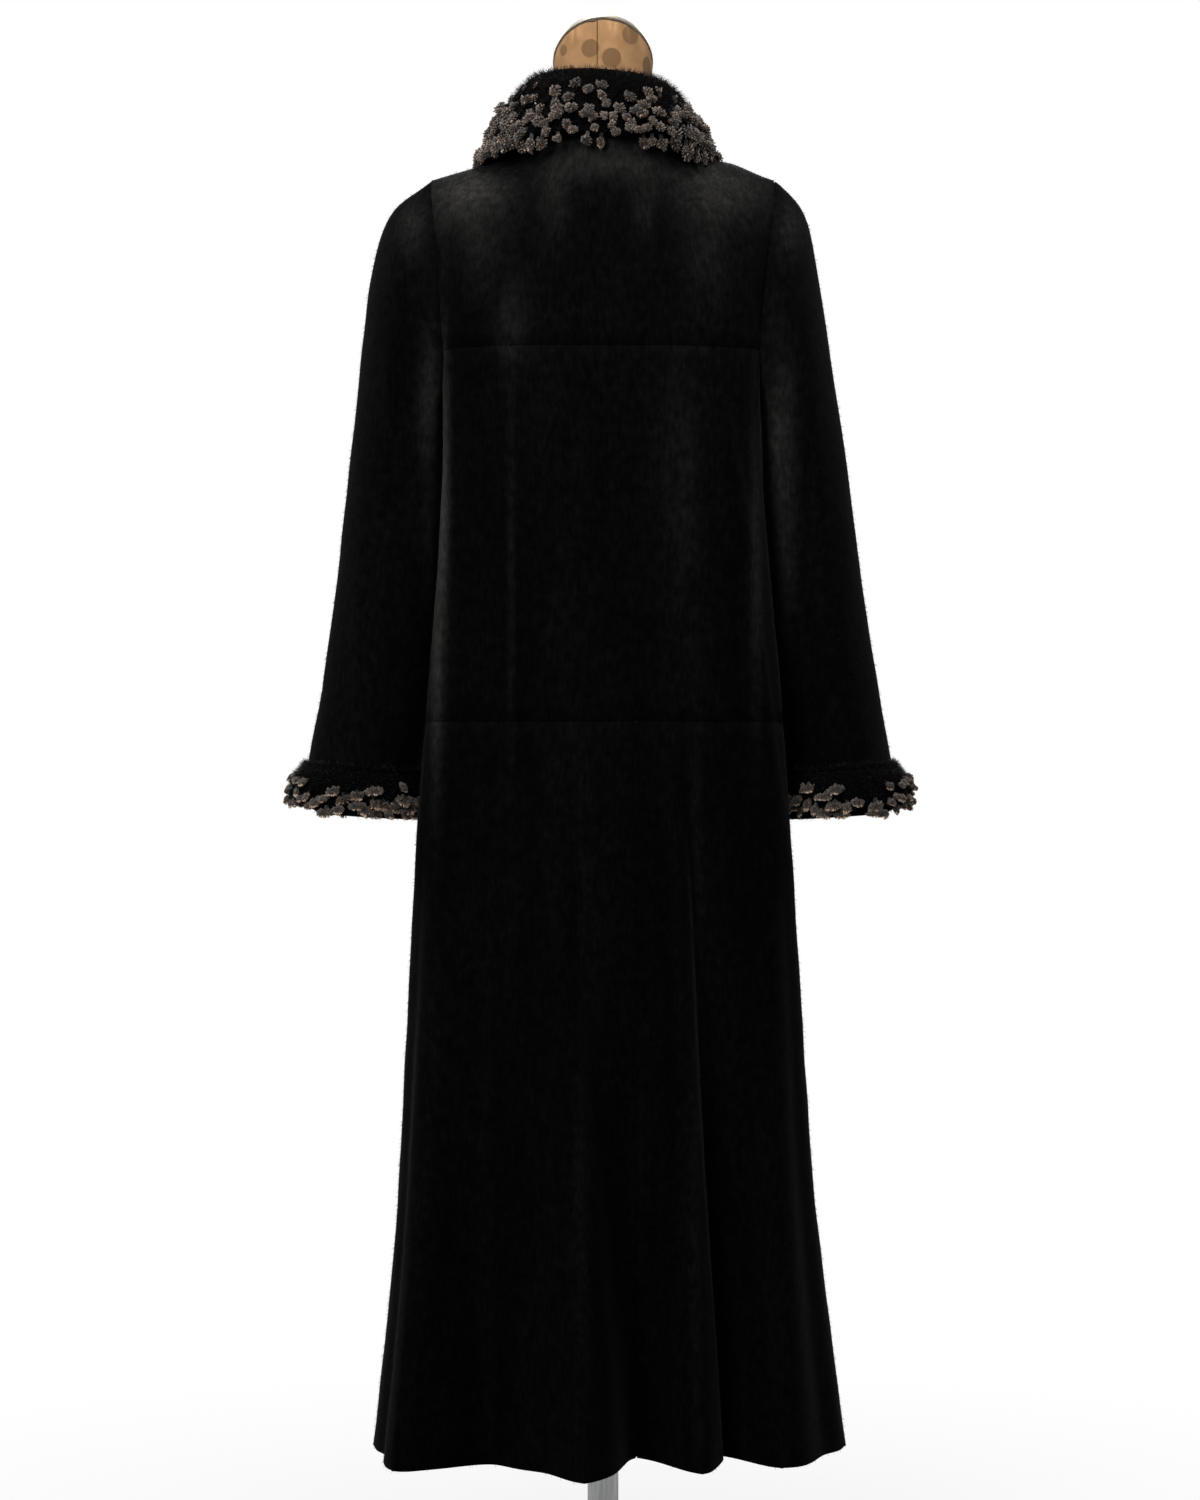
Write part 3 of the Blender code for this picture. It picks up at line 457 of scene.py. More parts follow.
def grained_finish(name, shades, per_metre, stretch=None, depth=0.0, **shader_values):
    """A finish with a grain between two shades, and bump where the grain has a depth."""
    finish, tree, shader = new_finish(name, **shader_values)
    where = add(tree, "TexCoord", {}).outputs["Object"]
    if stretch:
        where = add(tree, "Mapping", {"Vector": where, "Scale": stretch})
    grain = add(tree, "TexNoise", {"Vector": where, "Scale": per_metre, "Detail": 2})
    shade = add(tree, "ValToRGB", {"Fac": grain})
    set_ramp(shade, list(zip((0.3, 0.7), shades)))
    feed(shader, {"Base Color": shade})
    if depth:
        bump = add(tree, "Bump", {"Height": grain, "Strength": 0.3, "Distance": depth})
        feed(shader, {"Normal": bump})
    print(name)
    return finish


underfur = grained_finish(
    "mink underfur, black",
    ("#020202", "#070606"),
    1 / HAIR_GRAIN,
    Roughness=0.95,
    Specular_IOR_Level=0.01,
)
plate_metal = grained_finish(
    "brushed stainless steel, warm",
    ("#cfc6b6", "#e6dfd2"),
    900,
    stretch=(0.05, 1, 1),
    depth=0.0002,
    Metallic=1.0,
    Roughness=0.5,
)
pole_metal = grained_finish(
    "brushed steel tube",
    ("#a9abae", "#c9cbce"),
    900,
    stretch=(1, 1, 0.04),
    depth=0.0002,
    Metallic=1.0,
    Roughness=0.28,
)
paint = grained_finish(
    "powder coat, satin black",
    ("#151515", "#1d1d1d"),
    700,
    depth=0.0003,
    Roughness=0.45,
    Specular_IOR_Level=0.5,
)

# %% [markdown]
# ## From coarse solid to soft cloth
#
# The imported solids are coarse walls. A piece of cloth starts as a copy of its solid: the
# loose triangles are merged and paired back into four-sided faces. The sharp edges and the
# normals that came with the solid are dropped, because they would keep its faceted look.

# %% A copy to work on
MERGE_DISTANCE = 0.00003


def select_only(piece):
    bpy.ops.object.select_all(action="DESELECT")
    bpy.context.view_layer.objects.active = piece
    piece.select_set(True)


def new_piece(name, mesh):
    piece = bpy.data.objects.new(name, mesh)
    bpy.context.scene.collection.objects.link(piece)
    return piece


def copy_solid(node, name):
    """A copy of a node's mesh as a new object, merged and in four-sided faces."""
    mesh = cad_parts[node].data.copy()
    mesh.name = name
    mesh.materials.clear()
    piece = new_piece(name, mesh)
    select_only(piece)
    bpy.ops.object.mode_set(mode="EDIT")
    bpy.ops.mesh.select_all(action="SELECT")
    bpy.ops.mesh.remove_doubles(threshold=MERGE_DISTANCE)
    bpy.ops.mesh.tris_convert_to_quads(
        face_threshold=math.radians(38), shape_threshold=math.radians(180)
    )
    bpy.ops.object.mode_set(mode="OBJECT")
    for layer in list(mesh.attributes):
        if layer.name in ("sharp_face", "sharp_edge", "custom_normal"):
            mesh.attributes.remove(layer)
    return piece


print(len(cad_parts), "solids to copy from")

# %% [markdown]
# A Subdivision Surface then turns the cage into smooth cloth. The wall's edges, where its
# faces turn sharply, are marked as nearly sharp first. An edge that is not quite sharp comes
# out a little rounded, and the less sharp, the rounder: the hem is soft, an outer rim is
# crisper, and a seam inside the body is almost sharp, so that it shows only as a fine line.

# %% Smooth cloth from the copy
RIM_ANGLE = math.radians(52)
HEM_SHARPNESS, RIM_SHARPNESS, SEAM_SHARPNESS = 0.85, 0.93, 0.96
HEM_BELOW = 0.17
SHARP_ANGLE = math.radians(50)
SMOOTH_LEVELS = 2


def mark_rim(piece, sharpness):
    """Gives the wall's edges a crease, softer at the hem, and counts them."""
    shape = bmesh.new()
    shape.from_mesh(piece.data)
    edges, corners = shape.edges.layers.float, shape.verts.layers.float
    crease = edges.get("crease_edge") or edges.new("crease_edge")
    corner = corners.get("crease_vert") or corners.new("crease_vert")
    count = 0
    for edge in shape.edges:
        if len(edge.link_faces) == 2 and edge.calc_face_angle(0) > RIM_ANGLE:
            low = max(vertex.co.z for vertex in edge.verts) < HEM_BELOW
            edge[crease] = HEM_SHARPNESS if low else sharpness
            count += 1
    for vertex in shape.verts:
        if sum(edge[crease] > 0 for edge in vertex.link_edges) > 2:
            vertex[corner] = 1.0  # a corner would otherwise draw back and leave a hole
    shape.to_mesh(piece.data)
    shape.free()
    return count


def soften(node, name, finish, sharpness=RIM_SHARPNESS):
    """A node's solid as smooth cloth that stands for it."""
    piece = copy_solid(node, name)
    rims = mark_rim(piece, sharpness)
    smooth = piece.modifiers.new("smooth cloth", "SUBSURF")
    smooth.levels = smooth.render_levels = SMOOTH_LEVELS
    select_only(piece)
    bpy.ops.object.modifier_apply(modifier=smooth.name)
    bpy.ops.object.shade_smooth_by_angle(angle=SHARP_ANGLE)
    piece.data.materials.append(finish)
    print(name, "rim edges", rims, "faces", len(piece.data.polygons))
    return piece


# %% [markdown]
# ## The eight sheared pieces
#
# The back is a yoke, a middle and two skirt pieces, the fronts are one piece each, and the
# sleeves are tubes, whose rims stay rounder, as the armholes show more than the flat seams.

# %% Sheared pieces
BODY_NODES = [
    "back_yoke", "back_middle", "back_skirt_left", "back_skirt_right", "front_left", "front_right"
]
SLEEVE_NODES = ["sleeve_left", "sleeve_right"]
sheared = {node: soften(node, "pelt_" + node, mink, SEAM_SHARPNESS) for node in BODY_NODES}
sheared.update({node: soften(node, "pelt_" + node, mink) for node in SLEEVE_NODES})

# %% [markdown]
# ## Collar, cuffs and form
#
# They are made the same way. The collar and the cuffs are only the ground that the long hair
# and the tufts grow from.

# %% Collar, cuffs and form
SIDES = {"left": 1, "right": -1}  # the wearer's side, and which way it lies along X

collar = soften("collar", "collar_ground", underfur)
cuffs = {side: soften(f"cuff_{side}", f"cuff_ground_{side}", underfur) for side in SIDES}
torso = soften("form_body", "form_torso", jersey)

# %% [markdown]
# ## Creases placed one by one
#
# The solids carry the coat's large folds. The smaller ones are pressed into the cloth here,
# on the back and the sleeves at the places where the photograph shows them, and on the front,
# which it doesn't show, as a coat of this cut hangs. A crease runs down the coat, so it is a
# short table: at each height it has a place across, a rise (a ridge is above zero and a
# trough below) and a width on each side, because a fold often falls off sharply on one side
# and softly on the other. The whole wall moves, so the cloth keeps its thickness.

# %% Creases of the back, the front and the sleeves
# Each row: height in metres, and in millimetres the place across, the rise, the width
# towards the wearer's left and the width towards the right.
BACK_CREASES = {
    "left back ridge": [(1.262, 94, 0, 12, 10), (1.2, 92, 2.8, 14, 9), (1, 92, 3.6, 14, 9),
        (0.9, 91, 3, 14, 9), (0.6, 80, 4.2, 18, 12), (0.27, 65, 5, 22, 14),
        (0.13, 58, 4.5, 24, 16)],
    "deep fold's crest": [(0.885, 46, 0, 16, 6), (0.81, 43, 3.4, 20, 6), (0.57, 27, 6.5, 26, 7),
        (0.38, 9, 8, 30, 8), (0.13, -11, 8, 34, 9)],
    "deep fold's valley": [(0.8, 30, 0, 6, 12), (0.57, 11, -6, 7, 16), (0.38, -8, -8.5, 8, 20),
        (0.13, -30, -9, 10, 22)],
    "sharp fold's crest": [(0.885, -66, 0, 14, 6), (0.7, -83, 5.5, 20, 6),
        (0.5, -92, 7.5, 26, 6), (0.245, -109, 9, 30, 7), (0.13, -116, 9, 34, 8)],
    "sharp fold's valley": [(0.87, -83, 0, 5, 10), (0.75, -92, -6, 6, 13),
        (0.5, -107, -10, 7, 18), (0.245, -125, -12, 8, 22), (0.13, -133, -11, 10, 26)],
    "right side ridge": [(1.24, -118, 0, 10, 7), (1.2, -121, 3.6, 12, 7),
        (1.09, -145, 4.5, 14, 7), (0.93, -161, 5, 14, 7), (0.79, -180, 4, 14, 8),
        (0.7, -186, 0, 14, 8)],
    "left side ridge": [(1.26, 166, 0, 6, 10), (1.21, 156, 3.5, 6, 12), (1.09, 158, 4.2, 6, 14),
        (0.93, 168, 3.5, 6, 14), (0.8, 176, 0, 6, 14)],
    "upper left rise": [(1.22, 79, 0, 12, 12), (1.11, 78, 3, 14, 12), (0.99, 76, 0, 12, 12)],
    "upper right rise": [(1.26, -66, 0, 14, 10), (1.15, -69, 3.5, 16, 10), (1, -70, 0, 14, 10)],
    "middle hollow": [(1.44, -10, 0, 40, 40), (1.33, -12, -4, 34, 34), (1.18, -18, -4.5, 30, 34),
        (1, -22, -3, 30, 34), (0.9, -22, 0, 30, 34)],
    "shallow valley": [(0.8, 120, 0, 18, 14), (0.6, 119, -5.5, 22, 15),
        (0.21, 117, -7.5, 26, 18), (0.13, 118, -6, 26, 18)],
    "ripple by the right side": [(0.62, -168, 0, 10, 14), (0.38, -182, 4, 10, 16),
        (0.13, -196, 5.5, 12, 18)],
    "ripple by the left side": [(0.66, 170, 0, 16, 10), (0.4, 181, 4, 18, 11),
        (0.13, 196, 5.5, 20, 12)],
}
FRONT_CREASES = {
    "left front ridge": [(1.3, 100, 0, 16, 12), (1.12, 104, 3.8, 18, 12),
        (0.85, 112, 4.5, 20, 12), (0.4, 126, 5.5, 24, 14), (0.13, 132, 6, 26, 16)],
    "left front valley": [(0.86, 90, 0, 8, 14), (0.6, 94, -6, 9, 18), (0.13, 104, -8.5, 12, 22)],
    "right front ridge": [(1.34, -94, 0, 12, 16), (1.1, -99, 4, 12, 18),
        (0.8, -108, 4.8, 12, 22), (0.36, -124, 6, 14, 26), (0.13, -130, 6.5, 16, 28)],
    "right front valley": [(0.78, -70, 0, 10, 10), (0.5, -78, -5.5, 16, 10),
        (0.13, -92, -8, 20, 12)],
    "right breast hollow": [(1.36, -52, 0, 22, 22), (1.24, -60, -3, 24, 24),
        (1.08, -64, 0, 22, 22)],
    "left skirt ripple": [(0.55, 182, 0, 14, 10), (0.13, 196, 5.5, 18, 12)],
}
SLEEVE_CREASES = {
    "right sleeve's long fold": [(1.25, -207, 0, 5, 8), (1.17, -208, -4.2, 5, 8),
        (1.09, -209, -6, 5, 9), (1, -209, -4, 5, 9), (0.93, -210, 0, 5, 9)],
    "right sleeve's elbow knot": [(1.104, -204, 0, 4, 4), (1.09, -205, 5, 5, 5),
        (1.072, -206, 0, 4, 4)],
    "right sleeve's outer dip": [(1.08, -262, 0, 10, 10), (0.98, -264, -3.4, 12, 12),
        (0.88, -268, 0, 10, 10)],
    "left sleeve's long fold": [(1.24, 203, 0, 8, 6), (1.12, 206, -3, 9, 6),
        (0.98, 208, 0, 9, 6)],
    "left sleeve's elbow fold": [(1.08, 278, 0, 8, 10), (1.02, 270, -3.6, 9, 11),
        (0.95, 258, -3, 10, 11), (0.88, 246, 0, 10, 10)],
}
print(len(BACK_CREASES) + len(FRONT_CREASES) + len(SLEEVE_CREASES), "creases")

# %% [markdown]
# ## Moving points
#
# A sculptor's strokes become sums here: all points of a mesh are read as an array, moved, and
# written back. Most strokes fade in over some width, which the ramp gives. Strokes that go in
# or out need the middle line that a piece goes round: upright at the origin for the body, and
# the arm's bent line for a sleeve and its cuff.

# %% Tools for moving the cloth
ARM_HEIGHTS = [0.82, 1.0, 1.2, 1.3, 1.42]
ARM_ACROSS = [0.251, 0.226, 0.208, 0.200, 0.186]
ARM_DEEP = [-0.043, -0.040, -0.032, -0.024, -0.006]


def vertex_arrays(piece):
    """Places and normals of a mesh's vertices, one row for each."""
    count = len(piece.data.vertices)
    places, normals = np.empty(count * 3), np.empty(count * 3)
    piece.data.vertices.foreach_get("co", places)
    piece.data.vertices.foreach_get("normal", normals)
    return places.reshape(-1, 3), normals.reshape(-1, 3)


def set_places(piece, places):
    piece.data.vertices.foreach_set("co", places.reshape(-1))
    piece.data.update()


def ramp(values, start, width):
    """0 at start and 1 a width further on, eased. A width below zero goes the other way."""
    share = np.clip((values - start) / width, 0, 1)
    return share * share * (3 - 2 * share)


def unit(rows):
    return rows / np.maximum(np.linalg.norm(rows, axis=1, keepdims=True), 1e-9)


def axis_of(node):
    """A function that gives the piece's middle line, its x and y, at given heights."""
    kind, _, side = node.partition("_")
    if kind not in ("sleeve", "cuff"):
        return lambda heights: (np.zeros_like(heights), np.zeros_like(heights))
    return lambda heights: (
        SIDES[side] * np.interp(heights, ARM_HEIGHTS, ARM_ACROSS),
        np.interp(heights, ARM_HEIGHTS, ARM_DEEP),
    )


print("arm line from", ARM_HEIGHTS[0], "to", ARM_HEIGHTS[-1], "m")

# %% [markdown]
# ## Pressing the creases in
#
# Each crease moves the wall in or out along the level direction away from the piece's middle
# line. The back's creases give way to the front's round the sides. A hung fur is never quite
# even, so a very low and wide unevenness is added over all of it.

# %% Press the creases
from mathutils import noise

UNEVEN_RISE, UNEVEN_WIDTH = 0.0011, 0.05
BODY_RADII, SLEEVE_RADII = (0.20, 0.14), (0.05, 0.072)  # half width and half depth
SIDE_BAND = 0.25  # of the half depth, where back and front creases blend


def crease_rise(creases, heights, across):
    """The sum of the creases' rises at each point."""
    total = np.zeros(len(heights))
    for crease in creases.values():
        rows = np.array(crease)[::-1] / [1, 1000, 1000, 1000, 1000]
        levels, *columns = rows.T
        place, rise, left, right = (np.interp(heights, levels, column) for column in columns)
        rise = np.where(heights > levels[-1], 0, rise)
        away = across - place
        total += rise * np.exp(-((away / np.where(away > 0, left, right)) ** 2))
    return total


def press(piece, axis, radii, creases_at_back, creases_at_front):
    """Moves a piece's wall in and out by its creases and its unevenness."""
    places, _ = vertex_arrays(piece)
    across, heights = places[:, 0], places[:, 2]
    middle_x, middle_y = axis(heights)
    away = np.zeros_like(places)
    away[:, 0] = (across - middle_x) / radii[0] ** 2
    away[:, 1] = (places[:, 1] - middle_y) / radii[1] ** 2
    behind = (places[:, 1] - middle_y) / radii[1]
    at_back = ramp(behind, -SIDE_BAND / 2, SIDE_BAND)
    at_front = ramp(behind, SIDE_BAND / 2, -SIDE_BAND)
    rise = crease_rise(creases_at_back, heights, across) * at_back
    rise += crease_rise(creases_at_front, heights, across) * at_front
    rise += [UNEVEN_RISE * noise.noise(Vector(p) / UNEVEN_WIDTH) for p in places]
    set_places(piece, places + unit(away) * rise[:, None])


# %% [markdown]
# The pile closes the fine gaps that the solids have at their seams, so every sheared piece is
# swollen a little first. After the creases, the sleeves' heads are filled on the outside,
# where the pile stands away from the shoulder, and their mouths on the side of the body. The
# right shoulder is lifted to the line that the photograph shows.

# %% Swell, press and fill the sheared pieces
PILE_FULLNESS = 0.0008
HEAD_FILL, MOUTH_FILL = 0.0035, 0.0030
SHOULDER_X, SHOULDER_WIDTH, SHOULDER_RISE = -0.134, 0.024, 0.0042

for node, piece in sheared.items():
    places, normals = vertex_arrays(piece)
    set_places(piece, places + normals * PILE_FULLNESS)
    if node in SLEEVE_NODES:
        press(piece, axis_of(node), SLEEVE_RADII, SLEEVE_CREASES, {})
        places, _ = vertex_arrays(piece)
        out, up = np.abs(places[:, 0]), places[:, 2]
        head = HEAD_FILL * ramp(out, 0.185, 0.03) * (0.5 + 0.5 * ramp(up, 1.2, 0.15))
        mouth = ramp(out, 0.205, -0.03) * ramp(up, 0.96, -0.05)
        places[:, 0] += SIDES[node.partition("_")[2]] * (head - MOUTH_FILL * mouth)
    else:
        press(piece, axis_of(node), BODY_RADII, BACK_CREASES, FRONT_CREASES)
        places, _ = vertex_arrays(piece)
        away = (places[:, 0] - SHOULDER_X) / SHOULDER_WIDTH
        places[:, 2] += SHOULDER_RISE * np.exp(-(away**2)) * ramp(places[:, 2], 1.40, 0.05)
    set_places(piece, places)
print("creases pressed in")

# %% [markdown]
# ## Painted highlights and brushed nap
#
# The pelt is painted greyer on the shoulders and the nape, along the back's left edge, on the
# folds' crests and on the sleeves' inner panels below the armholes. Mostly this grey is a
# painted highlight where light falls on the pile, and at the nape it also lifts the shade under
# the collar. Partly it is nap stroked the other way, whose ends turn to the eye. These places
# are written on the cloth as the attribute that its finish reads, from a short table of soft
# ovals.

# %% Table of painted highlights and brushed nap
# Each oval: height in metres, then in millimetres its place across, half width and half
# height, and last its strength.
FRONT_EDGE_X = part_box("front_right")[1].x * 1000 - 3
# Most ovals are painted highlights, partly brushed nap. At the nape the painted light also fills
# the collar's shadow.
HIGHLIGHT_AND_NAP_BACK = {
    "left shoulder": (1.438, 142, 40, 36, 0.3),
    "left shoulder blade": (1.375, 126, 22, 45, 0.07),
    "right shoulder": (1.44, -124, 44, 36, 0.22),
    "right shoulder blade": (1.365, -105, 22, 50, 0.06),
    "nape": (1.472, 0, 95, 26, 0.28),
    "nape, left streak": (1.425, 50, 14, 40, 0.09),
    "nape, right streak": (1.42, -42, 12, 40, 0.07),
    "left edge": (1.14, 165, 6.5, 120, 0.62),
    "left edge below": (0.96, 170, 6, 110, 0.3),
    "right blade, low": (1.15, -80, 20, 110, 0.06),
    "right edge": (1.07, -156, 6, 140, 0.14),
    "yoke's left, low": (1.29, 92, 14, 35, 0.1),
    "left ridge": (1.05, 93, 4, 190, 0.05),
    "deep fold's crest": (0.45, 20, 8, 260, 0.05),
    "sharp fold's crest": (0.5, -94, 7, 300, 0.06),
}
HIGHLIGHT_AND_NAP_SLEEVES = {
    "left inner panel": (1.215, 178, 10, 60, 0.19),
    "left inner panel, low": (1.08, 178, 8, 80, 0.1),
    "right inner panel": (1.19, -180, 15, 85, 0.2),
    "right inner panel, low": (1.06, -188, 10, 90, 0.1),
    "left sleeve's head": (1.4, 196, 14, 30, 0.12),
    "right sleeve's head": (1.4, -192, 14, 30, 0.12),
}
HIGHLIGHT_AND_NAP_FRONT = {
    "left chest": (1.38, 110, 45, 45, 0.35),
    "right chest": (1.375, -112, 45, 50, 0.35),
    "left front ridge": (0.95, 112, 8, 240, 0.3),
    "left front ridge, low": (0.42, 70, 9, 250, 0.18),
    "right front ridge": (0.9, -110, 8, 260, 0.3),
    "right front ridge, low": (0.45, -60, 9, 250, 0.18),
    "front edge": (0.85, FRONT_EDGE_X, 3, 450, 0.22),
}
HIGHLIGHT_AND_NAP_SLEEVES_FRONT = {
    "left arm before": (1.15, 205, 8, 140, 0.22),
    "right arm before": (1.18, -203, 8, 150, 0.22),
}

# %% Paint the highlights and brushed nap on the cloth
TURN_WIDTH = 0.02  # from front to back, over which an oval fades at the coat's sides
BODY_MIDDLE_Y, SLEEVE_MIDDLE_Y = 0.0, -0.03


def paint_highlight_and_nap(piece, patches_behind, patches_before, middle_y):
    """Writes the painted highlights and brushed nap of the ovals on the coat's back and front."""
    places, _ = vertex_arrays(piece)
    level = np.zeros(len(places))
    for patches, sign in ((patches_behind, 1), (patches_before, -1)):
        turned = ramp((places[:, 1] - middle_y) * sign, -TURN_WIDTH / 2, TURN_WIDTH)
        for height, *millimetres, strength in patches.values():
            middle, half_width, half_height = np.array(millimetres) / 1000
            across = (places[:, 0] - middle) / half_width
            up = (places[:, 2] - height) / half_height
            level += strength * np.exp(-(across**2) - up**2) * turned
    # The attribute carries the painted highlights, and partly also brushed nap.
    layer = piece.data.attributes.new("brushed", "FLOAT", "POINT")
    layer.data.foreach_set("value", np.clip(level, 0, 1))


for node in BODY_NODES:
    paint_highlight_and_nap(sheared[node], HIGHLIGHT_AND_NAP_BACK, HIGHLIGHT_AND_NAP_FRONT, BODY_MIDDLE_Y)
for node in SLEEVE_NODES:
    paint_highlight_and_nap(sheared[node], HIGHLIGHT_AND_NAP_SLEEVES, HIGHLIGHT_AND_NAP_SLEEVES_FRONT, SLEEVE_MIDDLE_Y)
print("brushed places behind:", len(HIGHLIGHT_AND_NAP_BACK) + len(HIGHLIGHT_AND_NAP_SLEEVES))

# %% [markdown]
# ## Room for the long fur
#
# The solids of the collar and the cuffs reach as far as their fur does. So the ground that
# the fur grows from lies a few millimetres deeper: its outward side is moved in, less so at
# the collar's crown, where the hair is short and the fold is thin, and more at the cuffs' top.

# %% Sink the ground
COLLAR_SINK, CROWN_SINK, CUFF_SINK = 0.0050, 0.0016, 0.0045
CROWN_FROM, CROWN_HEIGHT = 1.520, 0.025
TOP_TAPER, TOP_BAND = 0.0025, 0.012
FULL_FACING = 1.3  # a face turned out by more than 1 / 1.3 sinks in full
OUTER_END_RISE = 0.014  # the cuff's lower edge curls up at its outer end


def sink(piece, node, depth_at):
    """Moves a wall's outward side in by a depth that depends on the height."""
    places, normals = vertex_arrays(piece)
    heights = places[:, 2]
    away = unit(places - np.stack([*axis_of(node)(heights), heights], axis=1))
    facing_out = np.clip((normals * away).sum(axis=1) * FULL_FACING, 0, 1)
    set_places(piece, places - normals * (facing_out * depth_at(heights))[:, None])


less = CROWN_SINK - COLLAR_SINK
sink(collar, "collar", lambda z: COLLAR_SINK + less * ramp(z, CROWN_FROM, CROWN_HEIGHT))
for side, cuff in cuffs.items():
    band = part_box(f"cuff_{side}")[1].z - TOP_BAND
    sink(cuff, f"cuff_{side}", lambda z: CUFF_SINK + TOP_TAPER * ramp(z, band, TOP_BAND))
    places, _ = vertex_arrays(cuff)
    outer_end = ramp(np.abs(places[:, 0]), 0.285, 0.04)
    low_part = ramp(places[:, 2], 0.825, -0.035)
    places[:, 2] += OUTER_END_RISE * outer_end * low_part
    set_places(cuff, places)
print("ground sunk by", COLLAR_SINK * 1000, "and", CUFF_SINK * 1000, "mm")

# %% [markdown]
# ## Where hair can grow
#
# Hair is scattered over a surface at random, evenly by area. A root is kept only where a
# short look straight out of the surface meets nothing, so no hair grows inside a fold or
# between two pieces.

# %% Scatter roots
LIFT = 0.0006  # the look starts this far above the surface, clear of the root's own face

points, faces = [], []
for piece in [*sheared.values(), collar, torso, *cuffs.values()]:
    first = len(points)
    points += [vertex.co.copy() for vertex in piece.data.vertices]
    faces += [[first + i for i in polygon.vertices] for polygon in piece.data.polygons]
obstacles = BVHTree.FromPolygons(points, faces)
print("search tree over", len(faces), "faces")


def scatter(piece, count, rng, room):
    """Random points on a mesh with their smooth normals, where nothing lies within room."""
    mesh = piece.data
    mesh.calc_loop_triangles()
    corners = np.empty(len(mesh.loop_triangles) * 3, np.int32)
    mesh.loop_triangles.foreach_get("vertices", corners)
    corners = corners.reshape(-1, 3)
    places, normals = vertex_arrays(piece)
    a, b, c = (places[corners[:, i]] for i in range(3))
    areas = np.linalg.norm(np.cross(b - a, c - a), axis=1) / 2
    chosen = rng.choice(len(corners), size=count, p=areas / areas.sum())
    u, v = rng.random((2, count, 1))
    flip = u + v > 1
    u, v = np.where(flip, 1 - u, u), np.where(flip, 1 - v, v)
    shares = (1 - u - v, u, v)
    roots = sum(share * places[corners[chosen, i]] for i, share in enumerate(shares))
    outs = sum(share * normals[corners[chosen, i]] for i, share in enumerate(shares))
    outs /= np.linalg.norm(outs, axis=1, keepdims=True)
    free = np.zeros(count, bool)
    for i, (root, out) in enumerate(zip(roots, outs)):
        start = Vector(root) + Vector(out) * LIFT
        free[i] = obstacles.ray_cast(start, Vector(out), room)[0] is None
    return roots[free], outs[free]


# %% [markdown]
# ## Strands
#
# A hair is a closed three-sided spike of four triangles. A tuft's strand is a three-sided
# stick that bends over along its length and ends flat where it was clipped. Thousands of them
# are joined into one mesh, each with its root just under the surface. The points of all
# strands lie in one array, so each ring of corners is worked out for all of them at once.

# %% Strands as one mesh
DOWN = np.array([0.0, 0.0, -1.0])
THIRDS = (0.0, 2.0944, 4.1888)  # of a turn, in radians
PILE_DEPTH, HAIR_DEPTH, TUFT_DEPTH = 0.0008, 0.001, 0.0015  # of the roots


def triangle_ring(centres, along, widths):
    """Three corners round each centre, across the strand's direction."""
    side = unit(np.cross(along, np.roll(along, 1, axis=1) + 0.3))
    other = np.cross(along, side)
    half = widths[:, None] / 2
    corners = [centres + (side * math.cos(t) + other * math.sin(t)) * half for t in THIRDS]
    return np.stack(corners, axis=1)


def join_strands(name, points, faces, shares, tones, finish):
    """One mesh of many copies of the same small shape, with the tone attribute."""
    count, per = points.shape[:2]
    starts = (np.arange(count) * per)[:, None]
    all_faces = []
    for face in faces:
        all_faces += (starts + np.array(face)).tolist()
    mesh = bpy.data.meshes.new(name)
    mesh.from_pydata(points.reshape(-1, 3), [], all_faces)
    colours = np.ones((count, per, 4))
    colours[:, :, 0] = shares
    colours[:, :, 1:3] = tones[:, None, :]
    layer = mesh.color_attributes.new("tone", "FLOAT_COLOR", "POINT")
    layer.data.foreach_set("color", colours.reshape(-1))
    mesh.materials.append(finish)
    mesh.shade_smooth()
    print(name, count, "strands")
    return new_piece(name, mesh)


def grow_hairs(name, roots, along, lengths, width, tones):
    """Straight pointed hairs."""
    ring = triangle_ring(roots, along, np.full(len(roots), width))
    tips = (roots + along * lengths[:, None])[:, None, :]
    faces = [(2, 1, 0), (0, 1, 3), (1, 2, 3), (2, 0, 3)]
    shares = np.array([0, 0, 0, 1.0])
    return join_strands(name, np.concatenate([ring, tips], axis=1), faces, shares, tones, guard)


def grow_clipped(name, roots, cores, tips, widths, tones):
    """Clipped strands that run from the root into the tuft's core and out to the cut end."""
    inner, outer = unit(cores - roots), unit(tips - cores)
    rings = [
        triangle_ring(roots, inner, widths * 0.5),
        triangle_ring(cores, unit(inner + outer), widths * 0.7),
        triangle_ring(tips, outer, widths),
    ]
    quads = [(k, (k + 1) % 3, 3 + (k + 1) % 3, 3 + k) for k in range(3)]
    faces = [(2, 1, 0)] + quads + [tuple(3 + i for i in quad) for quad in quads] + [(6, 7, 8)]
    shares = np.repeat([0.0, 0.5, 1.0], 3)
    return join_strands(name, np.concatenate(rings, axis=1), faces, shares, tones, tuft)


def hair_directions(outs, lean, rng, stray):
    """Leans hair from straight out towards straight down, each strand a little astray."""
    slope = DOWN - outs * (outs @ DOWN)[:, None]
    return unit(outs * (1 - lean) + slope * lean + rng.normal(0, stray, outs.shape))


# %% [markdown]
# ## The short pile
#
# The pile of a sheared pelt is far too dense to model hair by hair. A thin scatter of real
# strands over the whole coat is enough to make its outline soft from every side, and the
# finish does the rest.

# %% Short pile on the sheared pieces
PILE_PER_AREA = 20000  # strands for each square metre of the closed wall
PILE_LENGTH, PILE_WIDTH = 0.0045, 0.00045
PILE_ROOM = 0.009
PILE_LEAN, PILE_STRAY = 0.45, 0.12

